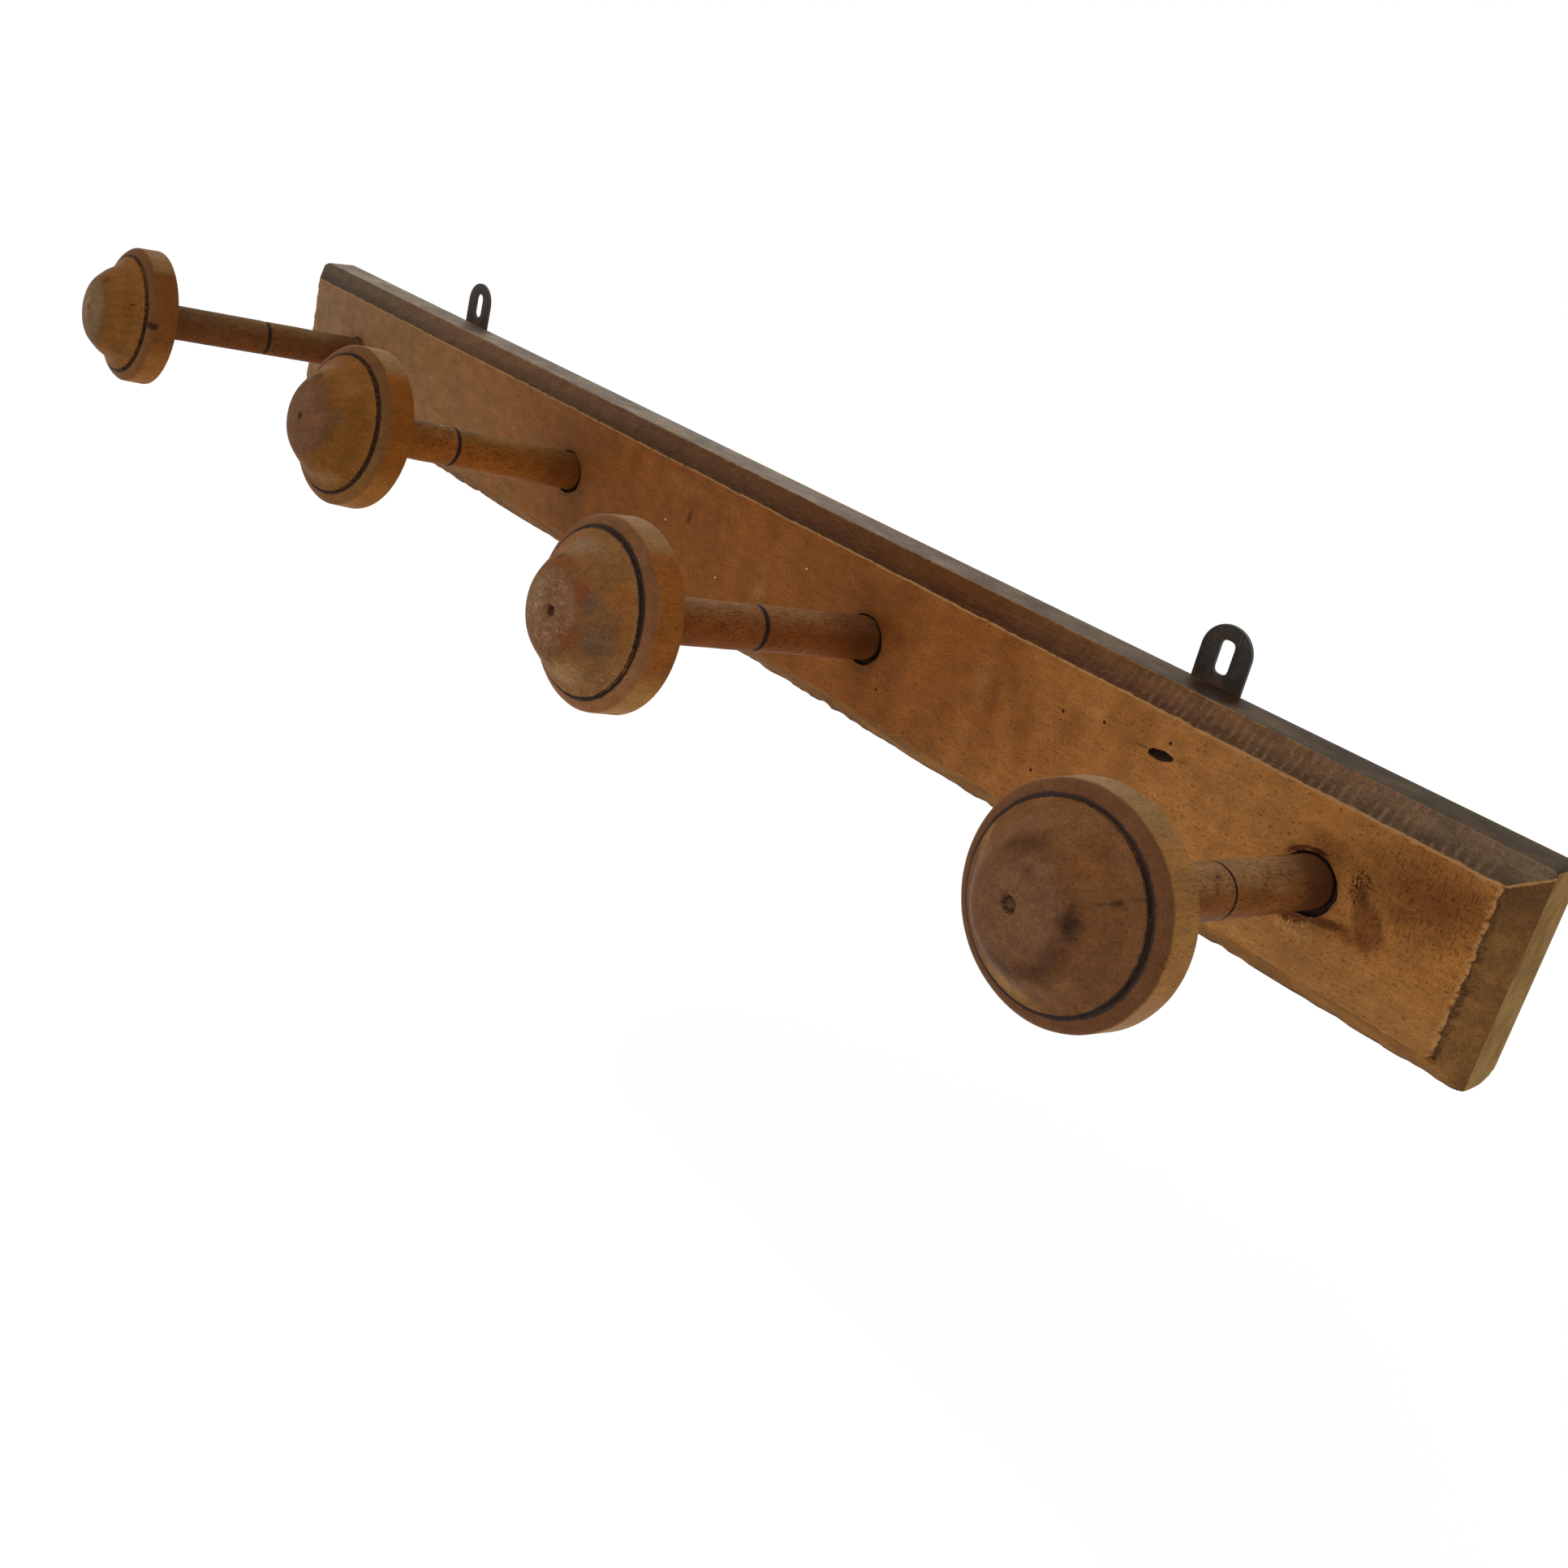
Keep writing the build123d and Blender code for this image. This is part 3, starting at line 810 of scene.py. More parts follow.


# The top's tones are partly painted sheen: pale grey-beige at the left, darkening to the right, standing in
# for the sky's reflection at a grazing view.
TOP_SHEEN_TONES = ((0.05, (0.217, 0.163, 0.112)), (0.18, (0.114, 0.079, 0.046)), (0.30, (0.054, 0.034, 0.013)))
BACK_TONES = ((-0.2, (0.250, 0.150, 0.076)), (0.2, (0.215, 0.126, 0.062)))
BOTTOM_BEVEL_TONES = (
    (-0.24, (0.160, 0.062, 0.010)),
    (0.0, (0.187, 0.071, 0.012)),
    (0.26, (0.225, 0.091, 0.015)),
)
BOTTOM_TONES = ((0.0, (0.180, 0.080, 0.028)), (0.3, (0.190, 0.090, 0.032)))
END_BEVEL_TONES = ((0.0, (0.172, 0.080, 0.024)), (0.3, (0.178, 0.082, 0.024)))
finishes = {
    "face": face_finish(),
    "top_bevel": top_bevel_finish(),
    "top": plain_finish("handled top", TOP_SHEEN_TONES, specular=0.03, dirt_and_reflection=plate_reflections),
    "bottom_bevel": plain_finish("bottom bevel", BOTTOM_BEVEL_TONES, dirt_and_reflection=dirty_foot),
    "bottom": plain_finish("underside", BOTTOM_TONES),
    "end_bevel": plain_finish("end bevel", END_BEVEL_TONES, specular=0.04, contrast=0.9, dirt_and_reflection=dirty_end),
    "end": end_finish(),
    "back": plain_finish("bare back", BACK_TONES, specular=0.05, contrast=0.75, size=0.022, streaks=0.30),
    "bore": bore_finish(),
}
for name in FINISHES:
    board.data.materials.append(finishes[name])
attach(board, "root")
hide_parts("board")


# The two hanging plates: cut from thin steel strip with a round head and a long slot, blackened by age and
# rusted at the foot. Each lies in its pocket at the board's back, held by two screws.
PLATE_THICKNESS = 0.0010
PLATE_FOOT_ROUND = 0.0020
PLATE_HEAD_FLAT = 0.0001
PLATE_ARRIS = 0.00016
PLATE_SHARP = math.radians(50)
SLOT_WIDTH = 0.0053
SLOT_LENGTH = 0.0117
SLOT_TOP_MARGIN = 0.0053
SLOT_ENDS = {"left": 1.0, "right": 0.72}  # how round the punch left the slot's ends, of a half disc
PUNCH_REACH = 0.005
COUNTERSINK = 0.0033  # a screw hole's radius at the plate's back, from which it narrows by its own depth
HAIR = 0.000001  # two heights that differ by less are one


def upright(x, z):
    """A place on the board's back whose own Z runs out towards the wall."""
    return Matrix.Translation((x, 0, z)) @ Matrix.Rotation(-math.pi / 2, 4, "X")


def plate_blank(low, high):
    """A strip of the plate's size, its head rounded to a half disc and the corners of its foot taken off."""
    made = bmesh.new()
    block_between(made, low, high)
    head_round = (high.x - low.x) / 2 - PLATE_HEAD_FLAT
    for end, radius, steps in ((high.z, head_round, 28), (low.z, PLATE_FOOT_ROUND, 6)):
        level = [edge for edge in made.edges if all(abs(vert.co.z - end) < HAIR for vert in edge.verts)]
        soften(made, [edge for edge in level if edge.verts[0].co.y != edge.verts[1].co.y], radius, steps)
    return made


def plate_cutter(side, low, high):
    """The long slot and the two countersunk holes."""
    cutter = bmesh.new()
    middle, half = (low.x + high.x) / 2, SLOT_WIDTH / 2
    slot_top = high.z - SLOT_TOP_MARGIN - half
    for vert in bore(cutter, (half, half), -PUNCH_REACH, PUNCH_REACH, upright(middle, slot_top), steps=48):
        across = (vert.co.x - middle) / half
        square = (1 - SLOT_ENDS[side]) * half * across**2 * math.sqrt(max(0.0, 1 - across**8))
        if vert.co.z < slot_top - HAIR:
            vert.co.z -= SLOT_LENGTH - SLOT_WIDTH + square
        else:
            vert.co.z += square
    for level in LEVELS:
        screw_low, screw_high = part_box(f"hanger_screw_{side}_{level}")
        place = upright(middle, (screw_low.z + screw_high.z) / 2)
        reach = 1.5 * PLATE_THICKNESS
        bore(cutter, (COUNTERSINK - reach, COUNTERSINK + reach), -reach, reach, place, steps=48)
    return cutter


STEEL = (0.017, 0.013, 0.010)
RUBBED_AND_LIT = (0.040, 0.033, 0.027)
BROWNED = (0.085, 0.070, 0.058)
BROWNING = (1.9, 1.5, 1.25)  # what brown patches do to the tone of steel
RUST_SPECK = (0.110, 0.048, 0.020)
RUST = (0.095, 0.038, 0.014)
BRIGHT = (0.170, 0.150, 0.125)
RUST_TOP, RUST_FULL = BOARD_TOP + 0.004, BOARD_TOP - 0.002


def steel_finish(name, tone, rubbed, rusted=False):
    """Blackened steel with brown patches, rubbed bright by a share, and rusted where it meets the board."""
    finish = Finish(name, metallic=0.6)
    place = finish.place()
    patch = place.cloud((0.004,) * 3, detail=4.0, rough=0.65)
    speck = place.cloud((0.0007,) * 3, detail=3.0, rough=0.6)
    brown = tuple(part * scale for part, scale in zip(tone, BROWNING))
    colour = patch.step(0.40, 0.68).tint(tone, brown)
    colour = speck.step(0.60, 0.72).tint(colour, RUST_SPECK)
    if rusted:
        scab = place.cloud((0.0026,) * 3, detail=4.0, rough=0.7).step(0.36, 0.58)
        foot = place.axis("Z").strayed(patch, 0.004).step(RUST_TOP, RUST_FULL)
        colour = (foot * scab.scale(0.25, 0.90)).tint(colour, RUST)
    scratch = place.cloud((0.0004, 0.0004, 0.006), detail=2.0, rough=0.5).step(0.66, 0.74)
    bright = (scratch * 0.5 | rubbed) * patch.step(0.75, 0.45)
    rough = (patch * 0.6 + speck * 0.4).scale(0.35, 0.70)
    return finish.done(bright.tint(colour, BRIGHT), rough, patch * 0.4 + speck * 0.6, 0.00008)


plate_steel = steel_finish("blackened strip", STEEL, 0.0, rusted=True)
# The plate edges are rubbed bright, and their pale tone is also a painted edge highlight.
plate_edge_rubbed_and_lit = steel_finish("worn strip edge", RUBBED_AND_LIT, 0.9, rusted=True)
for side in SIDES:
    low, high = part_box(f"hanger_plate_{side}")
    plate = solid(f"plate_{side}", plate_blank(low, high))
    cut_out(plate, plate_cutter(side, low, high))
    shape = bmesh.new()
    shape.from_mesh(plate.data)
    bmesh.ops.dissolve_limit(shape, angle_limit=math.radians(1), verts=shape.verts, edges=shape.edges)
    sharp = [edge for edge in shape.edges if edge.calc_face_angle(0) > PLATE_SHARP]
    # The rounded arrises get the edge finish with its painted highlight.
    for face in soften(shape, sharp, PLATE_ARRIS, 2):
        face.material_index = 1
    bmesh.ops.triangulate(shape, faces=[face for face in shape.faces if len(face.verts) > 4])
    shape.to_mesh(plate.data)
    shape.free()
    smooth(plate)
    plate.data.materials.append(plate_steel)
    plate.data.materials.append(plate_edge_rubbed_and_lit)
    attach(plate, "root")
    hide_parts(f"hanger_plate_{side}")


# The four screws that hold the plates: slotted, countersunk, turned from steel and left to brown. They are
# driven in flush with the plates.
screw_steel = steel_finish("browned screw", BROWNED, 0.15)
for side in SIDES:
    for level in LEVELS:
        screw = bpy.data.objects[f"hanger_screw_{side}_{level}"]
        for place in screw.material_slots:
            place.material = screw_steel


# The pegs' stems: four beech dowels, each with one thin ring burnt in, glued into the board at a slight lean
# and stained with it. They were turned by hand, so the rings don't line up.
RING_PLACE = {1: 0.0551, 2: 0.0698, 3: 0.0577, 4: 0.0548}  # from the board's face
RING_WIDTH = {1: 0.0018, 2: 0.0018, 3: 0.0020, 4: 0.0011}
RING_DEPTH = 0.0004
RING_PROFILE = ((-1, 0), (-0.7, 0.35), (-0.35, 0.9), (0, 1), (0.35, 0.9), (0.7, 0.35), (1, 0))  # shares
RING_WANDER = 0.0003
RING_REACH = 0.003
STEM_TENON = 0.0175  # at both ends, in the board and in the knob
STEM_CHAMFER = 0.0010
STEM_ROW = 0.003
STEM_STEPS = 96
STEM_WEAR = 0.00014
STEM_WEAR_SIZE = 0.014


def turned(outline, steps, place, wear):
    """A shape turned from an outline of radius and height, worn by a function, and set in its place."""
    made = bmesh.new()
    corners = [made.verts.new((radius, 0, height)) for radius, height in outline]
    sides = [made.edges.new(pair) for pair in zip(corners, corners[1:])]
    bmesh.ops.spin(
        made,
        geom=corners + sides,
        cent=(0, 0, 0),
        axis=(0, 0, 1),
        angle=2 * math.pi,
        steps=steps,
        use_merge=True,
    )
    bmesh.ops.remove_doubles(made, verts=made.verts, dist=HAIR)
    for vert in made.verts:
        vert.co = wear(vert.co)
    bmesh.ops.transform(made, matrix=place, verts=made.verts)
    return made


def straight_side(low, high):
    """A plain stretch of the dowel's outline."""
    return [(STEM_RADIUS, row) for row in (low, *between(low, high, STEM_ROW), high)]


def stem_outline(number):
    """A dowel with chamfered ends and a shallow ring, on rows close enough to show wear."""
    foot, tip = -STEM_TENON, open_length(number) + STEM_TENON
    ring, half = RING_PLACE[number], RING_WIDTH[number] / 2
    groove = [(STEM_RADIUS - sink * RING_DEPTH, ring + share * half) for share, sink in RING_PROFILE]
    outline = [(0, foot), (STEM_RADIUS - STEM_CHAMFER, foot)]
    outline += straight_side(foot + STEM_CHAMFER, ring - 2 * half)
    outline += groove
    outline += straight_side(ring + 2 * half, tip - STEM_CHAMFER)
    return outline + [(STEM_RADIUS - STEM_CHAMFER, tip), (0, tip)]


# Painted light on each stem: a paler, greyer upper side as a painted reflection of the sky, and a more orange
# underside as painted light bounced off the board.
STEM_LIT_TONES = {  # upper side, flank and underside
    1: ((0.172, 0.091, 0.034), (0.137, 0.048, 0.014), (0.153, 0.045, 0.008)),
    2: ((0.206, 0.095, 0.023), (0.260, 0.079, 0.012), (0.236, 0.071, 0.005)),
    3: ((0.232, 0.105, 0.038), (0.202, 0.059, 0.013), (0.208, 0.057, 0.005)),
    4: ((0.262, 0.138, 0.054), (0.220, 0.079, 0.021), (0.152, 0.036, 0.002)),
}
FLANK = 0.3 * STEM_RADIUS  # half the height of the band that has the flank's tone
ROOT_TONE = (0.060, 0.020, 0.007)
ROOT_GRIME_AND_SHADE = {1: 0.35, 2: 0.45, 3: 0.60, 4: 0.80}  # how dark a stem's root is painted: grime, and painted shade where it meets the board
BURNT = (0.016, 0.009, 0.008)
STEM_SPECKS = {2: ((0.002, 0.0084, 0.078),), 3: ((0.0060, 0.0020, 0.0785), (0.0072, -0.0008, 0.0800))}
TREE_STEP = 0.3  # each turned piece is cut from its own part of the tree, this far from the last


def stem_finish(number):
    finish = Finish(f"stained dowel {number}", specular=0.015)
    peg = peg_place(number)
    where = finish.place().laid(peg.translation, peg.to_euler())
    wood = where.laid((0, 0, TREE_STEP * number))
    up, out = where.axis("Y"), where.axis("Z")
    upper, flank, under = STEM_LIT_TONES[number]
    patch = wood.cloud((0.006, 0.006, 0.020), detail=4.0, rough=0.6)
    # Painted light: the tone runs from the underside through the flank to the upper side.
    tones = ((-STEM_RADIUS, under), (-FLANK, flank), (FLANK, flank), (STEM_RADIUS, upper))
    colour, relief = beech(wood, "Z", up.strayed(patch, 0.004).ramp(tones), contrast=0.9)
    flecks = wood.cloud((0.0004, 0.0004, 0.0026), detail=1.0).step(0.58, 0.66)
    flecks *= wood.cloud((0.008, 0.008, 0.016), detail=2.0).step(0.36, 0.54)
    colour = (flecks * 0.8).tint(colour, FLECK)
    # Darker towards the board: grime, and painted shade where the stem meets the face.
    root = out.strayed(patch, 0.014).step(0.034, 0.006)
    colour = (root * ROOT_GRIME_AND_SHADE[number]).tint(colour, ROOT_TONE)
    for centre in STEM_SPECKS.get(number, ()):
        colour = where.spot(centre, (SPECK_SIZE,) * 3).tint(colour, PAINT)
    ragged = where.cloud((0.0012, 0.0012, 0.0006), detail=3.0, rough=0.7)
    ring = out.strayed(ragged, 0.0003).line(RING_PLACE[number], RING_WIDTH[number] * 0.675, soft=0.30)
    colour = (ring * 0.95).tint(colour, BURNT)
    # Painted shade: the stem is painted almost black where it goes into its socket.
    in_socket = out.step(0.0, -0.0008)
    colour = (in_socket * 0.9).tint(colour, BURNT)
    return finish.done(colour, patch.scale(0.36, 0.55), relief, 0.00010, coat=ring * 0.08)


def make_stem(number):
    def wear(point):
        """Wear takes a little off the dowel, and its ring wanders."""
        off = STEM_WEAR * max(0.0, 0.5 + 0.6 * tear(point + Vector((number, 0, 0)), STEM_WEAR_SIZE))
        around = Vector((point.x, point.y, 0))
        moved = point - around.normalized() * min(off, around.length / 2)
        moved.z += near(point.z - RING_PLACE[number], RING_REACH) * RING_WANDER * tear(around, 0.004)
        return moved

    stem = solid(f"dowel_{number}", turned(stem_outline(number), STEM_STEPS, peg_place(number), wear))
    smooth(stem, 50)
    stem.data.materials.append(stem_finish(number))
    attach(stem, "root")
    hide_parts(f"peg_stem_{number}")


for number in PEGS:
    make_stem(number)


# The pegs' knobs: four flat mushrooms turned from beech, end grain to the front and glued on. A thick rim
# carries a bulging lip, a burnt groove and a dome, with the pit of the lathe's centre left in its crown.
KNOB_RADIUS = {1: 0.0329, 2: 0.03315, 3: 0.03355, 4: 0.0329}
KNOB_BORE = 0.0087
KNOB_BORE_DEPTH = 0.018
KNOB_STEPS = 160
BACK_ROW = 0.003
RIM_WIDTH = 0.0104
RIM_TAPER = 0.0004
RIM_ROUND = 0.0010
RIM_ROW = 0.0012
LIP_WIDTH = 0.0040
LIP_RISE = 0.0032
LIP_BULGE = 0.0006
LIP_SHARES = (0, 0.12, 0.25, 0.4, 0.55, 0.7, 0.85, 1)
GROOVE_STEP = 0.00106  # across and up, as the groove lies on a slope
GROOVE_SINK = 0.00064
GROOVE_PROFILE = ((0.15, 0.25), (0.32, 0.85), (0.5, 1.0), (0.68, 0.85), (0.85, 0.25))  # shares
GROOVE_WANDER = 0.00016
GROOVE_REACH = 0.0013
DOME_HEIGHT = 0.0166
DOME_OUTLINE = ((0.89, 0.115), (0.71, 0.53), (0.51, 0.85), (0.25, 0.975))  # shares of foot radius and height
DOME_STEPS = (6, 10, 10, 12, 24)
DOME_FLARE = (-1, 0.5)  # which way the dome's outline leaves the groove
RIM_WEAR = 0.00018
TRUE_CORE = 0.012  # the radius inside which a knob is still true
CROWN_FROM = 0.022  # a height that only the crown reaches
PIT_PLACE = {1: (0.0, 0.0), 2: (-0.0011, -0.0001), 3: (0.0027, 0.0003), 4: (-0.0020, 0.0004)}
CENTRE_PIT = {1: 0.0013, 2: 0.0015, 3: 0.0021, 4: 0.0024}  # its radius, and the tool went in a little deeper


def through(points, first, last, steps):
    """A smooth curve through points, with its directions at both ends, in so many steps between each two."""
    points = [Vector(point) for point in points]
    runs = [(ahead - point).length for point, ahead in zip(points, points[1:])]
    headings = [Vector(first).normalized()]
    for i in range(1, len(runs)):
        before = (points[i] - points[i - 1]) / runs[i - 1]
        after = (points[i + 1] - points[i]) / runs[i]
        headings.append((before * runs[i] + after * runs[i - 1]) / (runs[i - 1] + runs[i]))
    headings.append(Vector(last).normalized())
    curve = [points[0]]
    for i, run in enumerate(runs):
        handles = points[i] + headings[i] * run / 3, points[i + 1] - headings[i + 1] * run / 3
        curve += geometry.interpolate_bezier(points[i], *handles, points[i + 1], steps[i] + 1)[1:]
    return curve


def knob_outline(radius):
    """From the bore's blind end, round the back, rim, lip and groove, and up the dome to its crown."""
    outline = [(0, KNOB_BORE_DEPTH), (KNOB_BORE, KNOB_BORE_DEPTH), (KNOB_BORE, 0)]
    outline += [(row, 0) for row in between(KNOB_BORE, radius - RIM_ROUND, BACK_ROW)]
    for turn in (0, 22.5, 45, 67.5, 90):
        across, rise = math.sin(math.radians(turn)), 1 - math.cos(math.radians(turn))
        outline.append((radius - RIM_ROUND + RIM_ROUND * across, RIM_ROUND * rise))
    for row in between(RIM_ROUND, RIM_WIDTH, RIM_ROW):
        outline.append((radius - RIM_TAPER * (row - RIM_ROUND) / (RIM_WIDTH - RIM_ROUND), row))
    front = radius - RIM_TAPER
    slope = Vector((LIP_RISE, LIP_WIDTH)).normalized()
    for share in LIP_SHARES:
        bulge = slope * LIP_BULGE * 4 * share * (1 - share)
        outline.append((front - LIP_WIDTH * share + bulge.x, RIM_WIDTH + LIP_RISE * share + bulge.y))
    across, height = front - LIP_WIDTH, RIM_WIDTH + LIP_RISE
    for share, sink in GROOVE_PROFILE:
        step, down = GROOVE_STEP * share, GROOVE_SINK * sink
        outline.append((across - step - down, height + step - down))
    foot = across - GROOVE_STEP, height + GROOVE_STEP
    crown = foot[1] + DOME_HEIGHT
    marks = [(foot[0] * out, foot[1] + DOME_HEIGHT * up) for out, up in DOME_OUTLINE]
    flank = through([foot, *marks, (0, crown)], DOME_FLARE, (-1, 0), DOME_STEPS)
    return outline + [tuple(point) for point in flank]


CROWN_TONE = {
    1: (0.155, 0.086, 0.036),
    2: (0.137, 0.061, 0.029),
    3: (0.170, 0.077, 0.035),
    4: (0.151, 0.068, 0.032),
}
HALO_TONE = {
    1: (0.093, 0.041, 0.010),
    2: (0.096, 0.041, 0.018),
    3: (0.106, 0.032, 0.008),
    4: (0.106, 0.040, 0.014),
}
FLARE_TONE = {
    1: (0.190, 0.074, 0.016),
    2: (0.184, 0.071, 0.014),
    3: (0.200, 0.088, 0.028),
    4: (0.160, 0.067, 0.024),
}
LIP_TONE = {
    1: (0.143, 0.060, 0.021),
    2: (0.152, 0.065, 0.021),
    3: (0.184, 0.077, 0.031),
    4: (0.150, 0.062, 0.026),
}
RIM_TONE = {
    1: (0.185, 0.064, 0.014),
    2: (0.236, 0.073, 0.011),
    3: (0.258, 0.084, 0.016),
    4: (0.325, 0.150, 0.042),
}
# Rim undersides, painted lighter as light from below.
RIM_LIT_BELOW = {
    1: (0.270, 0.102, 0.024),
    2: (0.282, 0.105, 0.018),
    3: (0.318, 0.150, 0.038),
    4: (0.335, 0.170, 0.060),
}
# The rim's top, painted pale as a highlight.
RIM_SHEEN = (0.254, 0.137, 0.051)
PIT_FLOOR = {
    1: (0.150, 0.090, 0.040),
    2: (0.110, 0.034, 0.013),
    3: (0.115, 0.032, 0.010),
    4: (0.170, 0.086, 0.038),
}
PIT_EDGE = (0.030, 0.014, 0.008)
PIT_DARK = {1: 0.3, 2: 0.7, 3: 0.9, 4: 0.9}
KNOB_BACK = (0.150, 0.066, 0.022)
NICKED = (0.480, 0.330, 0.190)
SCUFF_TONE = (0.380, 0.245, 0.130)
GROOVE_BURNT = (0.026, 0.014, 0.011)
GROOVE_GLOSS = {1: 0.05, 2: 0.05, 3: 0.12, 4: 0.20}
GROOVE_HALF = 0.00086
GROOVE_HEAVY = {  # which way a knob's groove is broadest, and by how much
    1: ((0.9, -0.4, 0), 0.00015),
    2: ((0.9, 0.4, 0), 0.00015),
    3: ((0.5, 0.87, 0), 0.00030),
    4: ((1.0, 0.1, 0), 0.00026),
}
LIP_LIT_BELOW = {1: 1.20, 2: 1.22, 3: 1.30, 4: 0.92}  # how much lighter the lip is painted below, as painted light from below
SCUFFED = {1: 0.25, 2: 0.15, 3: 1.00, 4: 0.10}  # how much of the crown is scuffed through its polish
KNOB_WEAR = {1: 0.8, 2: 0.9, 3: 0.35, 4: 0.10}  # how many pale nicks the rim and lip have
DARK, RED, ORANGE = (0.040, 0.018, 0.010), (0.165, 0.043, 0.012), (0.245, 0.080, 0.016)
# Gold patches on the flares, most of them low, are painted light, mostly from below; pale patches on the
# crowns are painted sheen.
BLUE, LIT_GOLD, PALE = (0.085, 0.062, 0.050), (0.290, 0.150, 0.050), (0.260, 0.175, 0.095)
KNOB_PATCHES = {  # tone, place to the side and up, half width and height, turn in degrees, strength
    1: (
        (PALE, (-0.0030, 0.0), (0.0070, 0.0090), 0, 0.30),
        (DARK, (0.0050, 0.0155), (0.0050, 0.0026), -15, 0.55),
        (LIT_GOLD, (0.0060, -0.0200), (0.0110, 0.0045), 15, 0.35),
        (ORANGE, (0.0185, 0.0010), (0.0050, 0.0090), 0, 0.30),
        (DARK, (0.0209, 0.0086), (0.0011, 0.0009), 0, 0.90),
        (DARK, (0.0314, 0.0021), (0.0038, 0.0024), 0, 0.95),
    ),
    2: (
        (DARK, (-0.0041, 0.0165), (0.0065, 0.0026), 15, 0.60),
        (RED, (0.0072, -0.0005), (0.0040, 0.0060), 0, 0.35),
        (ORANGE, (0.0092, -0.0125), (0.0045, 0.0030), 35, 0.40),
        (BLUE, (0.0166, 0.0056), (0.0026, 0.0055), 19, 0.40),
        (LIT_GOLD, (0.0093, -0.0213), (0.0100, 0.0035), 22, 0.50),
        (LIT_GOLD, (0.0125, 0.0166), (0.0060, 0.0040), -40, 0.35),
        (DARK, (0.0040, 0.0030), (0.0016, 0.0005), 30, 0.80),
    ),
    3: (
        (DARK, (-0.0065, 0.0162), (0.0050, 0.0018), 20, 0.60),
        (RED, (-0.0020, 0.0155), (0.0090, 0.0032), 8, 0.60),
        (RED, (0.0115, 0.0110), (0.0040, 0.0075), 45, 0.70),
        (RED, (0.0118, -0.0046), (0.0050, 0.0070), -20, 0.50),
        (ORANGE, (0.0205, 0.0125), (0.0036, 0.0090), 32, 0.75),
        (ORANGE, (0.0245, 0.0020), (0.0022, 0.0080), 0, 0.60),
        (BLUE, (0.0155, 0.0080), (0.0034, 0.0060), 30, 0.40),
        (BLUE, (0.0195, -0.0030), (0.0050, 0.0100), -8, 0.50),
        (LIT_GOLD, (0.0095, -0.0185), (0.0120, 0.0060), 28, 0.60),
        (PALE, (-0.0030, 0.0215), (0.0120, 0.0044), 5, 0.35),
        (PALE, (-0.0070, 0.0025), (0.0085, 0.0100), 0, 0.30),
    ),
    4: (
        (DARK, (-0.0064, 0.0150), (0.0095, 0.0040), 23, 0.58),
        (DARK, (-0.0008, 0.0100), (0.0036, 0.0026), 0, 0.35),
        (DARK, (0.0139, 0.0038), (0.0040, 0.0062), 15, 0.95),
        (DARK, (0.0126, -0.0060), (0.0042, 0.0085), -24, 0.50),
        (DARK, (0.0084, -0.0139), (0.0110, 0.0042), 31, 0.55),
        (DARK, (-0.0020, -0.0162), (0.0100, 0.0034), -6, 0.55),
        (LIT_GOLD, (-0.0040, -0.0245), (0.0150, 0.0042), -4, 0.80),
        (LIT_GOLD, (-0.0245, 0.0056), (0.0030, 0.0100), 13, 0.50),
        (ORANGE, (0.0100, 0.0163), (0.0070, 0.0044), -35, 0.35),
        (DARK, (0.0168, 0.0102), (0.0014, 0.0008), 30, 0.45),
        (DARK, (0.0190, 0.0114), (0.0015, 0.0012), 30, 0.75),
        (DARK, (0.0222, 0.0139), (0.0026, 0.0009), 30, 0.45),
    ),
}


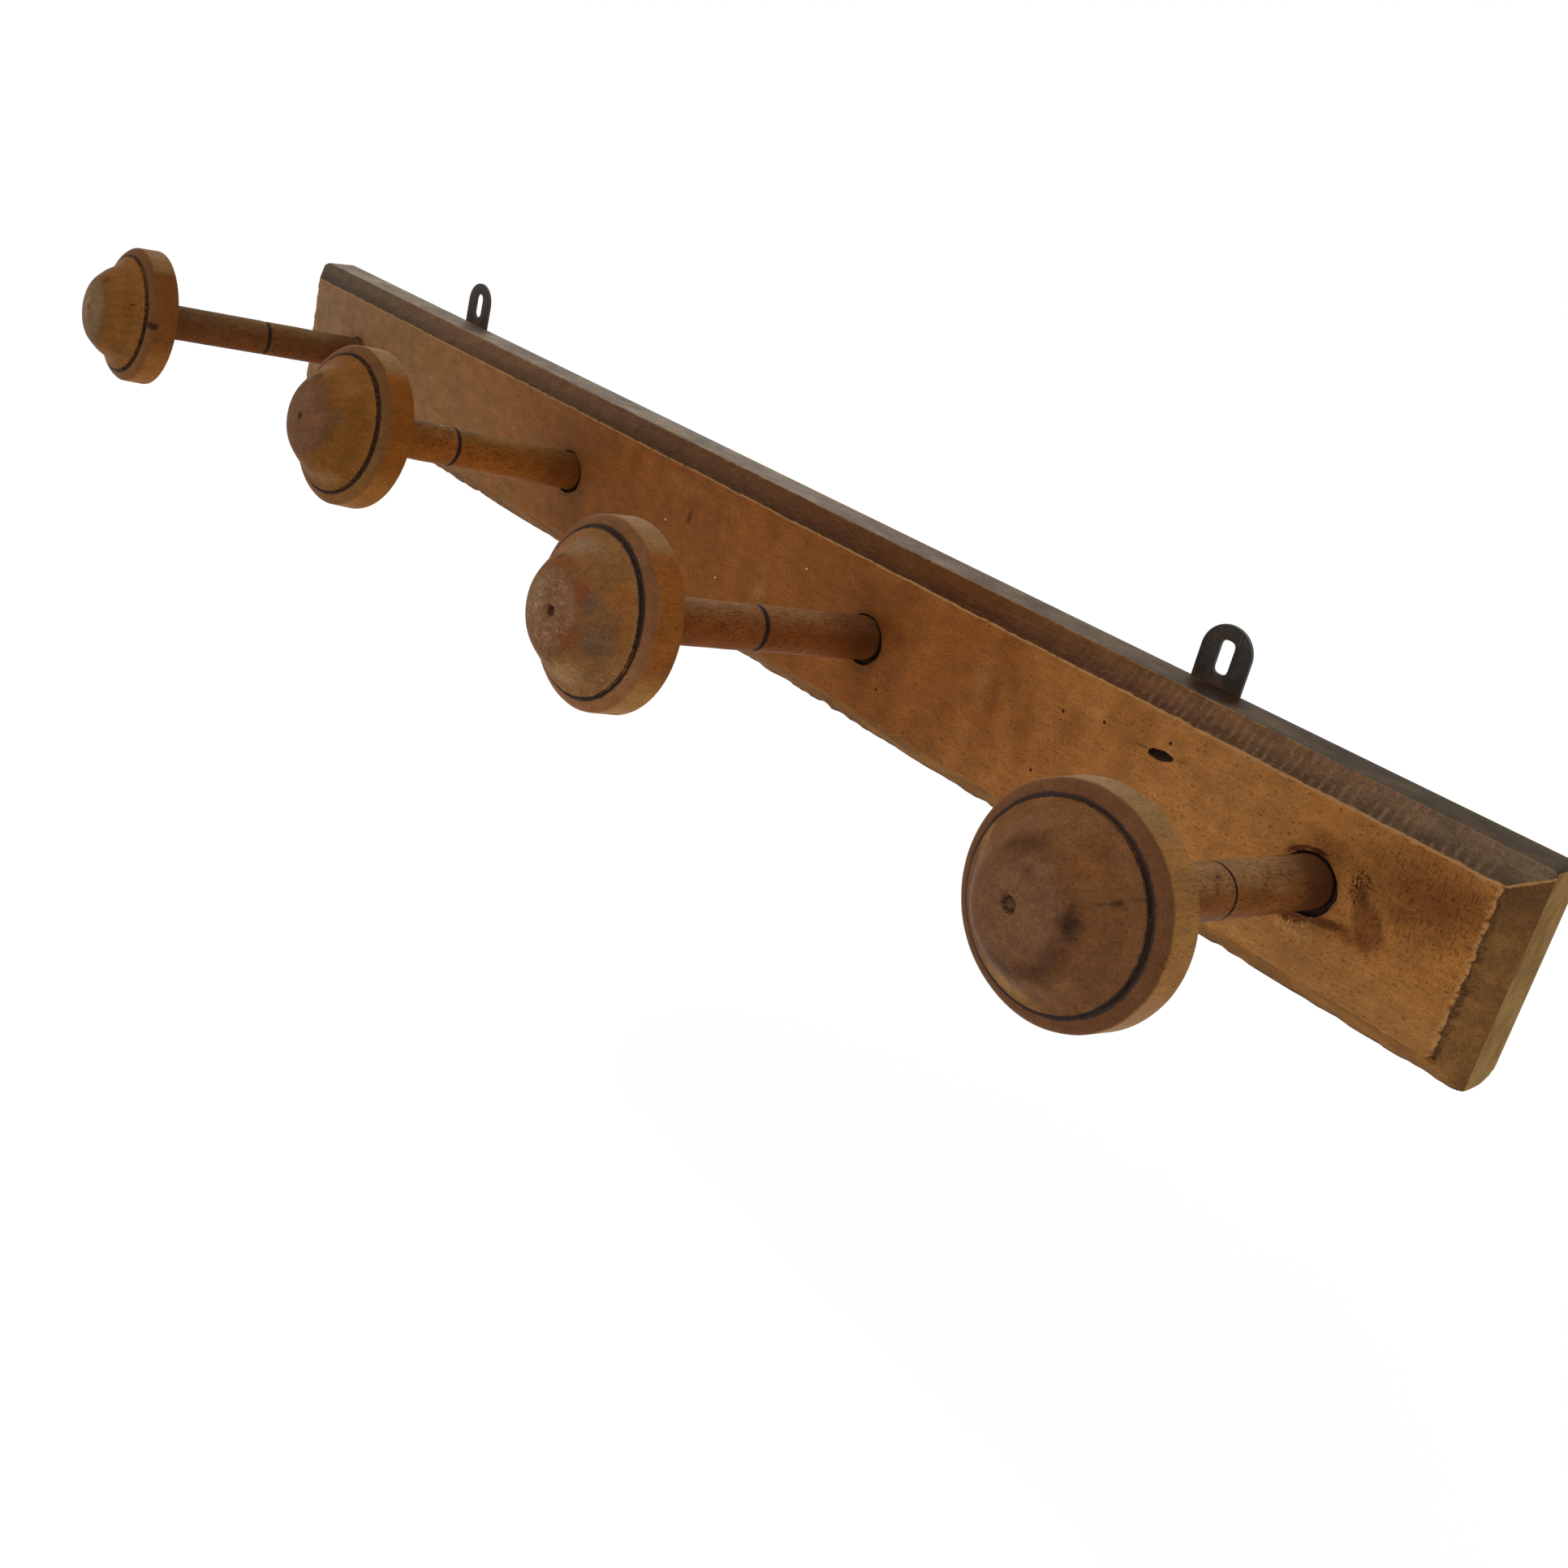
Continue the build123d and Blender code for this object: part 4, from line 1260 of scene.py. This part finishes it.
class KnobFinish(Finish):
    """The finish of one knob, built up from the dome outwards. Its parts share these places and clouds."""

    def __init__(self, number, place, groove):
        super().__init__(f"turned beech {number}", specular=0.015)
        self.number = number
        self.groove = groove
        where = self.place().laid(place.translation, place.to_euler())
        self.wood = where.laid((0, TREE_STEP * number, 0))
        self.up, self.height = where.axis("Y"), where.axis("Z")
        self.flat = Pattern(self.tree, "VectorMath", {0: where, 1: (1, 1, 0)}, operation="MULTIPLY")
        self.out = self.flat.length()
        self.outer = self.out.step(groove, groove + 0.0004)
        self.patch = self.wood.cloud((0.011, 0.011, 0.030), detail=4.0, rough=0.6, warp=0.5)
        self.mottle = self.wood.cloud((0.0045, 0.0045, 0.012), detail=4.0, rough=0.65)
        self.grit = self.wood.cloud((0.0008, 0.0008, 0.0010), detail=3.0, rough=0.7)
        self.edge = self.height.strayed(self.mottle, 0.0006)
        growth = where.laid((0.030, -0.022, 0), size=(0.0019, 0.0019, 0.20)).length()
        self.growth = growth.strayed(self.patch, 1.2).math("PINGPONG", 1.0)

    def dome(self):
        """A dark halo between the crown and the flare, with patches of other tones, some of them painted
        light and painted sheen, and faint growth rings.
        """
        reach = self.out.strayed(self.patch, 0.0035)
        colour = reach.step(0.0125, 0.0175).tint(CROWN_TONE[self.number], FLARE_TONE[self.number])
        ring = reach.line(0.0152, 0.0036, soft=0.9) * self.mottle.step(0.30, 0.60)
        colour = (ring * 0.45).tint(colour, HALO_TONE[self.number])
        for tone, place, (width, length), turn, strength in KNOB_PATCHES[self.number]:
            turned_by = (0, 0, math.radians(turn))
            size, tooth = (width, length, 1), 0.6 * width
            spot = self.flat.spot((*place, 0), size, turned_by, soft=0.85, ragged=0.5, tooth=tooth)
            colour = (spot * strength).tint(colour, tone)
        for mark, depth in ((self.growth, 0.04), (self.mottle, 0.38), (self.grit, 0.45)):
            colour = mark.vary(colour, depth)
        return colour

    def scuffs(self, colour):
        """Hats and coats have scuffed the polish, most of all on the crown and below."""
        scuff = self.wood.cloud((0.0017, 0.0010, 0.0012), detail=5.0, rough=0.85, warp=0.8).step(0.52, 0.60)
        worn_most = self.out.step(0.0150, 0.0090) | self.up.step(-0.008, -0.018)
        scuff *= self.mottle.step(0.32, 0.58) * worn_most * SCUFFED[self.number]
        return (scuff * 0.85).tint(colour, SCUFF_TONE)

    def lip_and_rim(self, colour):
        """The lip outside the groove, painted lighter below as light from below, and behind it the rim, with
        a painted highlight along its top and painted light from below on its underside.
        """
        # Painted light from below on the lip's lower part.
        lower = self.up.strayed(self.patch, 0.010).step(0.020, -0.024)
        lip = lower.shade(LIP_TONE[self.number], 0.88, LIP_LIT_BELOW[self.number])
        colour = self.outer.tint(colour, self.mottle.vary(lip, 0.34))
        rim = (self.patch.step(0.52, 0.72) * 0.35).tint(RIM_TONE[self.number], lip)
        # Painted light from below on the rim's underside.
        low = self.up.strayed(self.patch, 0.010).step(-0.004, -0.016)
        rim = low.tint(rim, RIM_LIT_BELOW[self.number])
        # A painted highlight along the rim's top.
        lit = self.up.strayed(self.patch, 0.004).step(0.0255, 0.0295)
        rim = (lit * 0.85).tint(rim, RIM_SHEEN)
        scored = self.wood.cloud((0.0010, 0.0010, 0.012), detail=3.0, rough=0.7)
        for mark, depth in ((scored, 0.22), (self.grit, 0.30), (self.mottle, 0.28)):
            rim = mark.vary(rim, depth)
        colour = (self.outer * self.edge.step(0.0112, 0.0102)).tint(colour, rim)
        for tone, place, (width, length), turn, strength in KNOB_PATCHES[self.number]:
            if math.hypot(*place) > self.groove:
                size = (width, length, 1)
                spot = self.flat.spot((*place, 0), size, soft=0.6, ragged=0.5, tooth=0.5 * width)
                colour = (spot * self.height.step(0.0085, 0.0105) * strength).tint(colour, tone)
        return colour

    def back(self, colour):
        """The back, which never got much stain."""
        inside = self.out.step(self.groove + 0.004, self.groove + 0.002)
        return (self.height.step(0.0006, 0.0002) * inside).tint(colour, KNOB_BACK)

    def centre_pit(self, colour):
        """The pit of the lathe's centre, dark round its edge."""
        side, lift = PIT_PLACE[self.number]
        wide = CENTRE_PIT[self.number]
        pit = self.flat.spot((side, lift, 0), (wide * 1.1, wide * 1.1, 1), ragged=0.5, tooth=0.0008)
        colour = (pit * PIT_DARK[self.number]).tint(colour, PIT_EDGE)
        bottom = (side - 0.0003, lift - 0.0001, 0)
        floor = self.flat.spot(bottom, (wide * 0.7, wide * 0.7, 1), soft=0.6, tooth=0.0008)
        return (floor * 0.80).tint(colour, PIT_FLOOR[self.number])

    def nicks(self, colour):
        """Pale nicks along the edge between lip and rim."""
        nicks = self.grit.step(0.66, 0.74) * self.edge.line(0.0110, 0.0026, soft=0.8) * self.outer
        return (nicks * KNOB_WEAR[self.number]).tint(colour, NICKED)

    def burnt_groove(self):
        """Where the groove is burnt: a line that wanders, and is broader where the tool bit deeper."""
        ragged = self.wood.cloud((0.0016,) * 3, detail=3.0, rough=0.7)
        off = self.out.strayed(ragged, 0.0006) - self.groove
        heavy, extra = GROOVE_HEAVY[self.number]
        aimed = Pattern(self.tree, "VectorMath", {0: self.flat, 1: heavy}, "Value", operation="DOT_PRODUCT")
        broad = aimed.step(0.004, 0.028).scale(0.0, extra)
        line = (abs(off) - broad).step(GROOVE_HALF, 0.00050)
        return line * self.height.step(RIM_WIDTH, RIM_WIDTH + 0.001)

    def laid_on(self):
        """The whole finish, as a material."""
        colour = self.lip_and_rim(self.scuffs(self.dome()))
        colour, relief = beech(self.wood, "Z", colour, contrast=0.5)
        colour = self.nicks(self.centre_pit(self.back(colour)))
        groove = self.burnt_groove()
        colour = (groove * 0.92).tint(colour, GROOVE_BURNT)
        gloss = groove * GROOVE_GLOSS[self.number]
        return self.done(colour, self.mottle.scale(0.34, 0.58), relief, 0.00008, coat=gloss)


def make_knob(number):
    radius = KNOB_RADIUS[number]
    groove = radius - RIM_TAPER - LIP_WIDTH - GROOVE_STEP / 2
    pit = Vector((*PIT_PLACE[number], 0))
    seed = Vector((0, 0, 3.7 * number))

    def wear(point):
        """The groove wanders, the rim is a little out of true, and the lathe's centre has left its pit."""
        around = Vector((point.x, point.y, 0))
        outward = around.normalized()
        moved = point.copy()
        if point.z > RIM_ROUND / 2 and around.length > TRUE_CORE:
            moved -= outward * RIM_WEAR * max(0.0, 0.4 + 0.6 * tear(around + seed, 0.016))
        if point.z > RIM_WIDTH:
            wander = GROOVE_WANDER * near(around.length - groove, GROOVE_REACH) * tear(around + seed, 0.0028)
            moved += outward * wander - Vector((0, 0, wander))
        if point.z > CROWN_FROM:
            from_pit = (around - pit).length * (1 + 0.30 * tear(around * 0.8 + seed, 0.0012))
            moved.z -= 1.1 * CENTRE_PIT[number] * near(from_pit, CENTRE_PIT[number] * 1.35)
        return moved

    place = peg_place(number) @ Matrix.Translation((0, 0, open_length(number)))
    knob = solid(f"mushroom_{number}", turned(knob_outline(radius), KNOB_STEPS, place, wear))
    smooth(knob, 50)
    knob.data.materials.append(KnobFinish(number, place, groove).laid_on())
    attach(knob, "root")
    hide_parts(f"peg_knob_{number}")


for number in PEGS:
    make_knob(number)


# The room that the rail is shown in: a pale floor below it, an even white surround, and two broad soft lights
# that shine down from the left, one from before the rail and one from behind it.
FLOOR_DROP = 0.42
FLOOR_SIZE = 30.0
FLOOR_TONE = (0.80, 0.80, 0.79)
WHITE = (1, 1, 1)
FLOOR_GLOW = (0.20, 0.395)  # to the rays that light the rail, and as the camera sees it
ROOM_GLOW = (0.50, 1.0)
EYE = (0.5085, -0.4884, 0.1948)
LOOK_LEFT = math.radians(45.89)
LOOK_DOWN = math.radians(20.19)
ROLL = math.radians(13.12)
LENS = 38.78
SHIFT = (0.0437, -0.0646)


def seen(tree, glow):
    """A glow for rays that light the rail, and another for rays from the camera, a mirror or a glass."""
    kinds = ("Is Camera Ray", "Is Glossy Ray", "Is Transmission Ray")
    rays = [Pattern(tree, "LightPath", output=kind) for kind in kinds]
    return reduce(or_, rays).scale(*glow)


def soft_light(name, strength, towards, spread):
    """A broad soft light, shining along a direction."""
    lamp = bpy.data.lights.new(name, "SUN")
    lamp.energy = strength
    lamp.angle = math.radians(spread)
    light = bpy.data.objects.new(name, lamp)
    light.rotation_euler = Vector(towards).to_track_quat("-Z", "Y").to_euler()
    bpy.context.scene.collection.objects.link(light)


scene = bpy.context.scene
scene.view_settings.view_transform = "Standard"
floor_shape = bmesh.new()
bmesh.ops.create_grid(floor_shape, x_segments=2, y_segments=2, size=FLOOR_SIZE / 2)
floor = solid("floor", floor_shape)
floor.data.transform(Matrix.Translation((0, 0, -FLOOR_DROP)))
pale = Finish("pale floor", specular=0.0)
put(pale.shader["Base Color"], FLOOR_TONE)
put(pale.shader["Roughness"], 0.9)
put(pale.shader["Emission Color"], WHITE)
put(pale.shader["Emission Strength"], seen(pale.tree, FLOOR_GLOW))
floor.data.materials.append(pale.material)

world = bpy.data.worlds.new("white room")
world.use_nodes = True
scene.world = world
surround = world.node_tree.nodes["Background"].inputs
put(surround["Color"], WHITE)
put(surround["Strength"], seen(world.node_tree, ROOM_GLOW))

soft_light("window", 1.0, (0.25, 0.75, -0.80), 50)
soft_light("far_window", 0.4, (0.6, -0.55, -0.60), 60)

camera = bpy.data.objects.new("camera", bpy.data.cameras.new("camera"))
scene.collection.objects.link(camera)
scene.camera = camera
camera.location = EYE
ahead = Vector((-math.sin(LOOK_LEFT), math.cos(LOOK_LEFT), -math.tan(LOOK_DOWN)))
level = ahead.to_track_quat("-Z", "Y").to_matrix().to_4x4()
camera.rotation_euler = (level @ Matrix.Rotation(ROLL, 4, "Z")).to_euler()
camera.data.lens = LENS
camera.data.shift_x, camera.data.shift_y = SHIFT
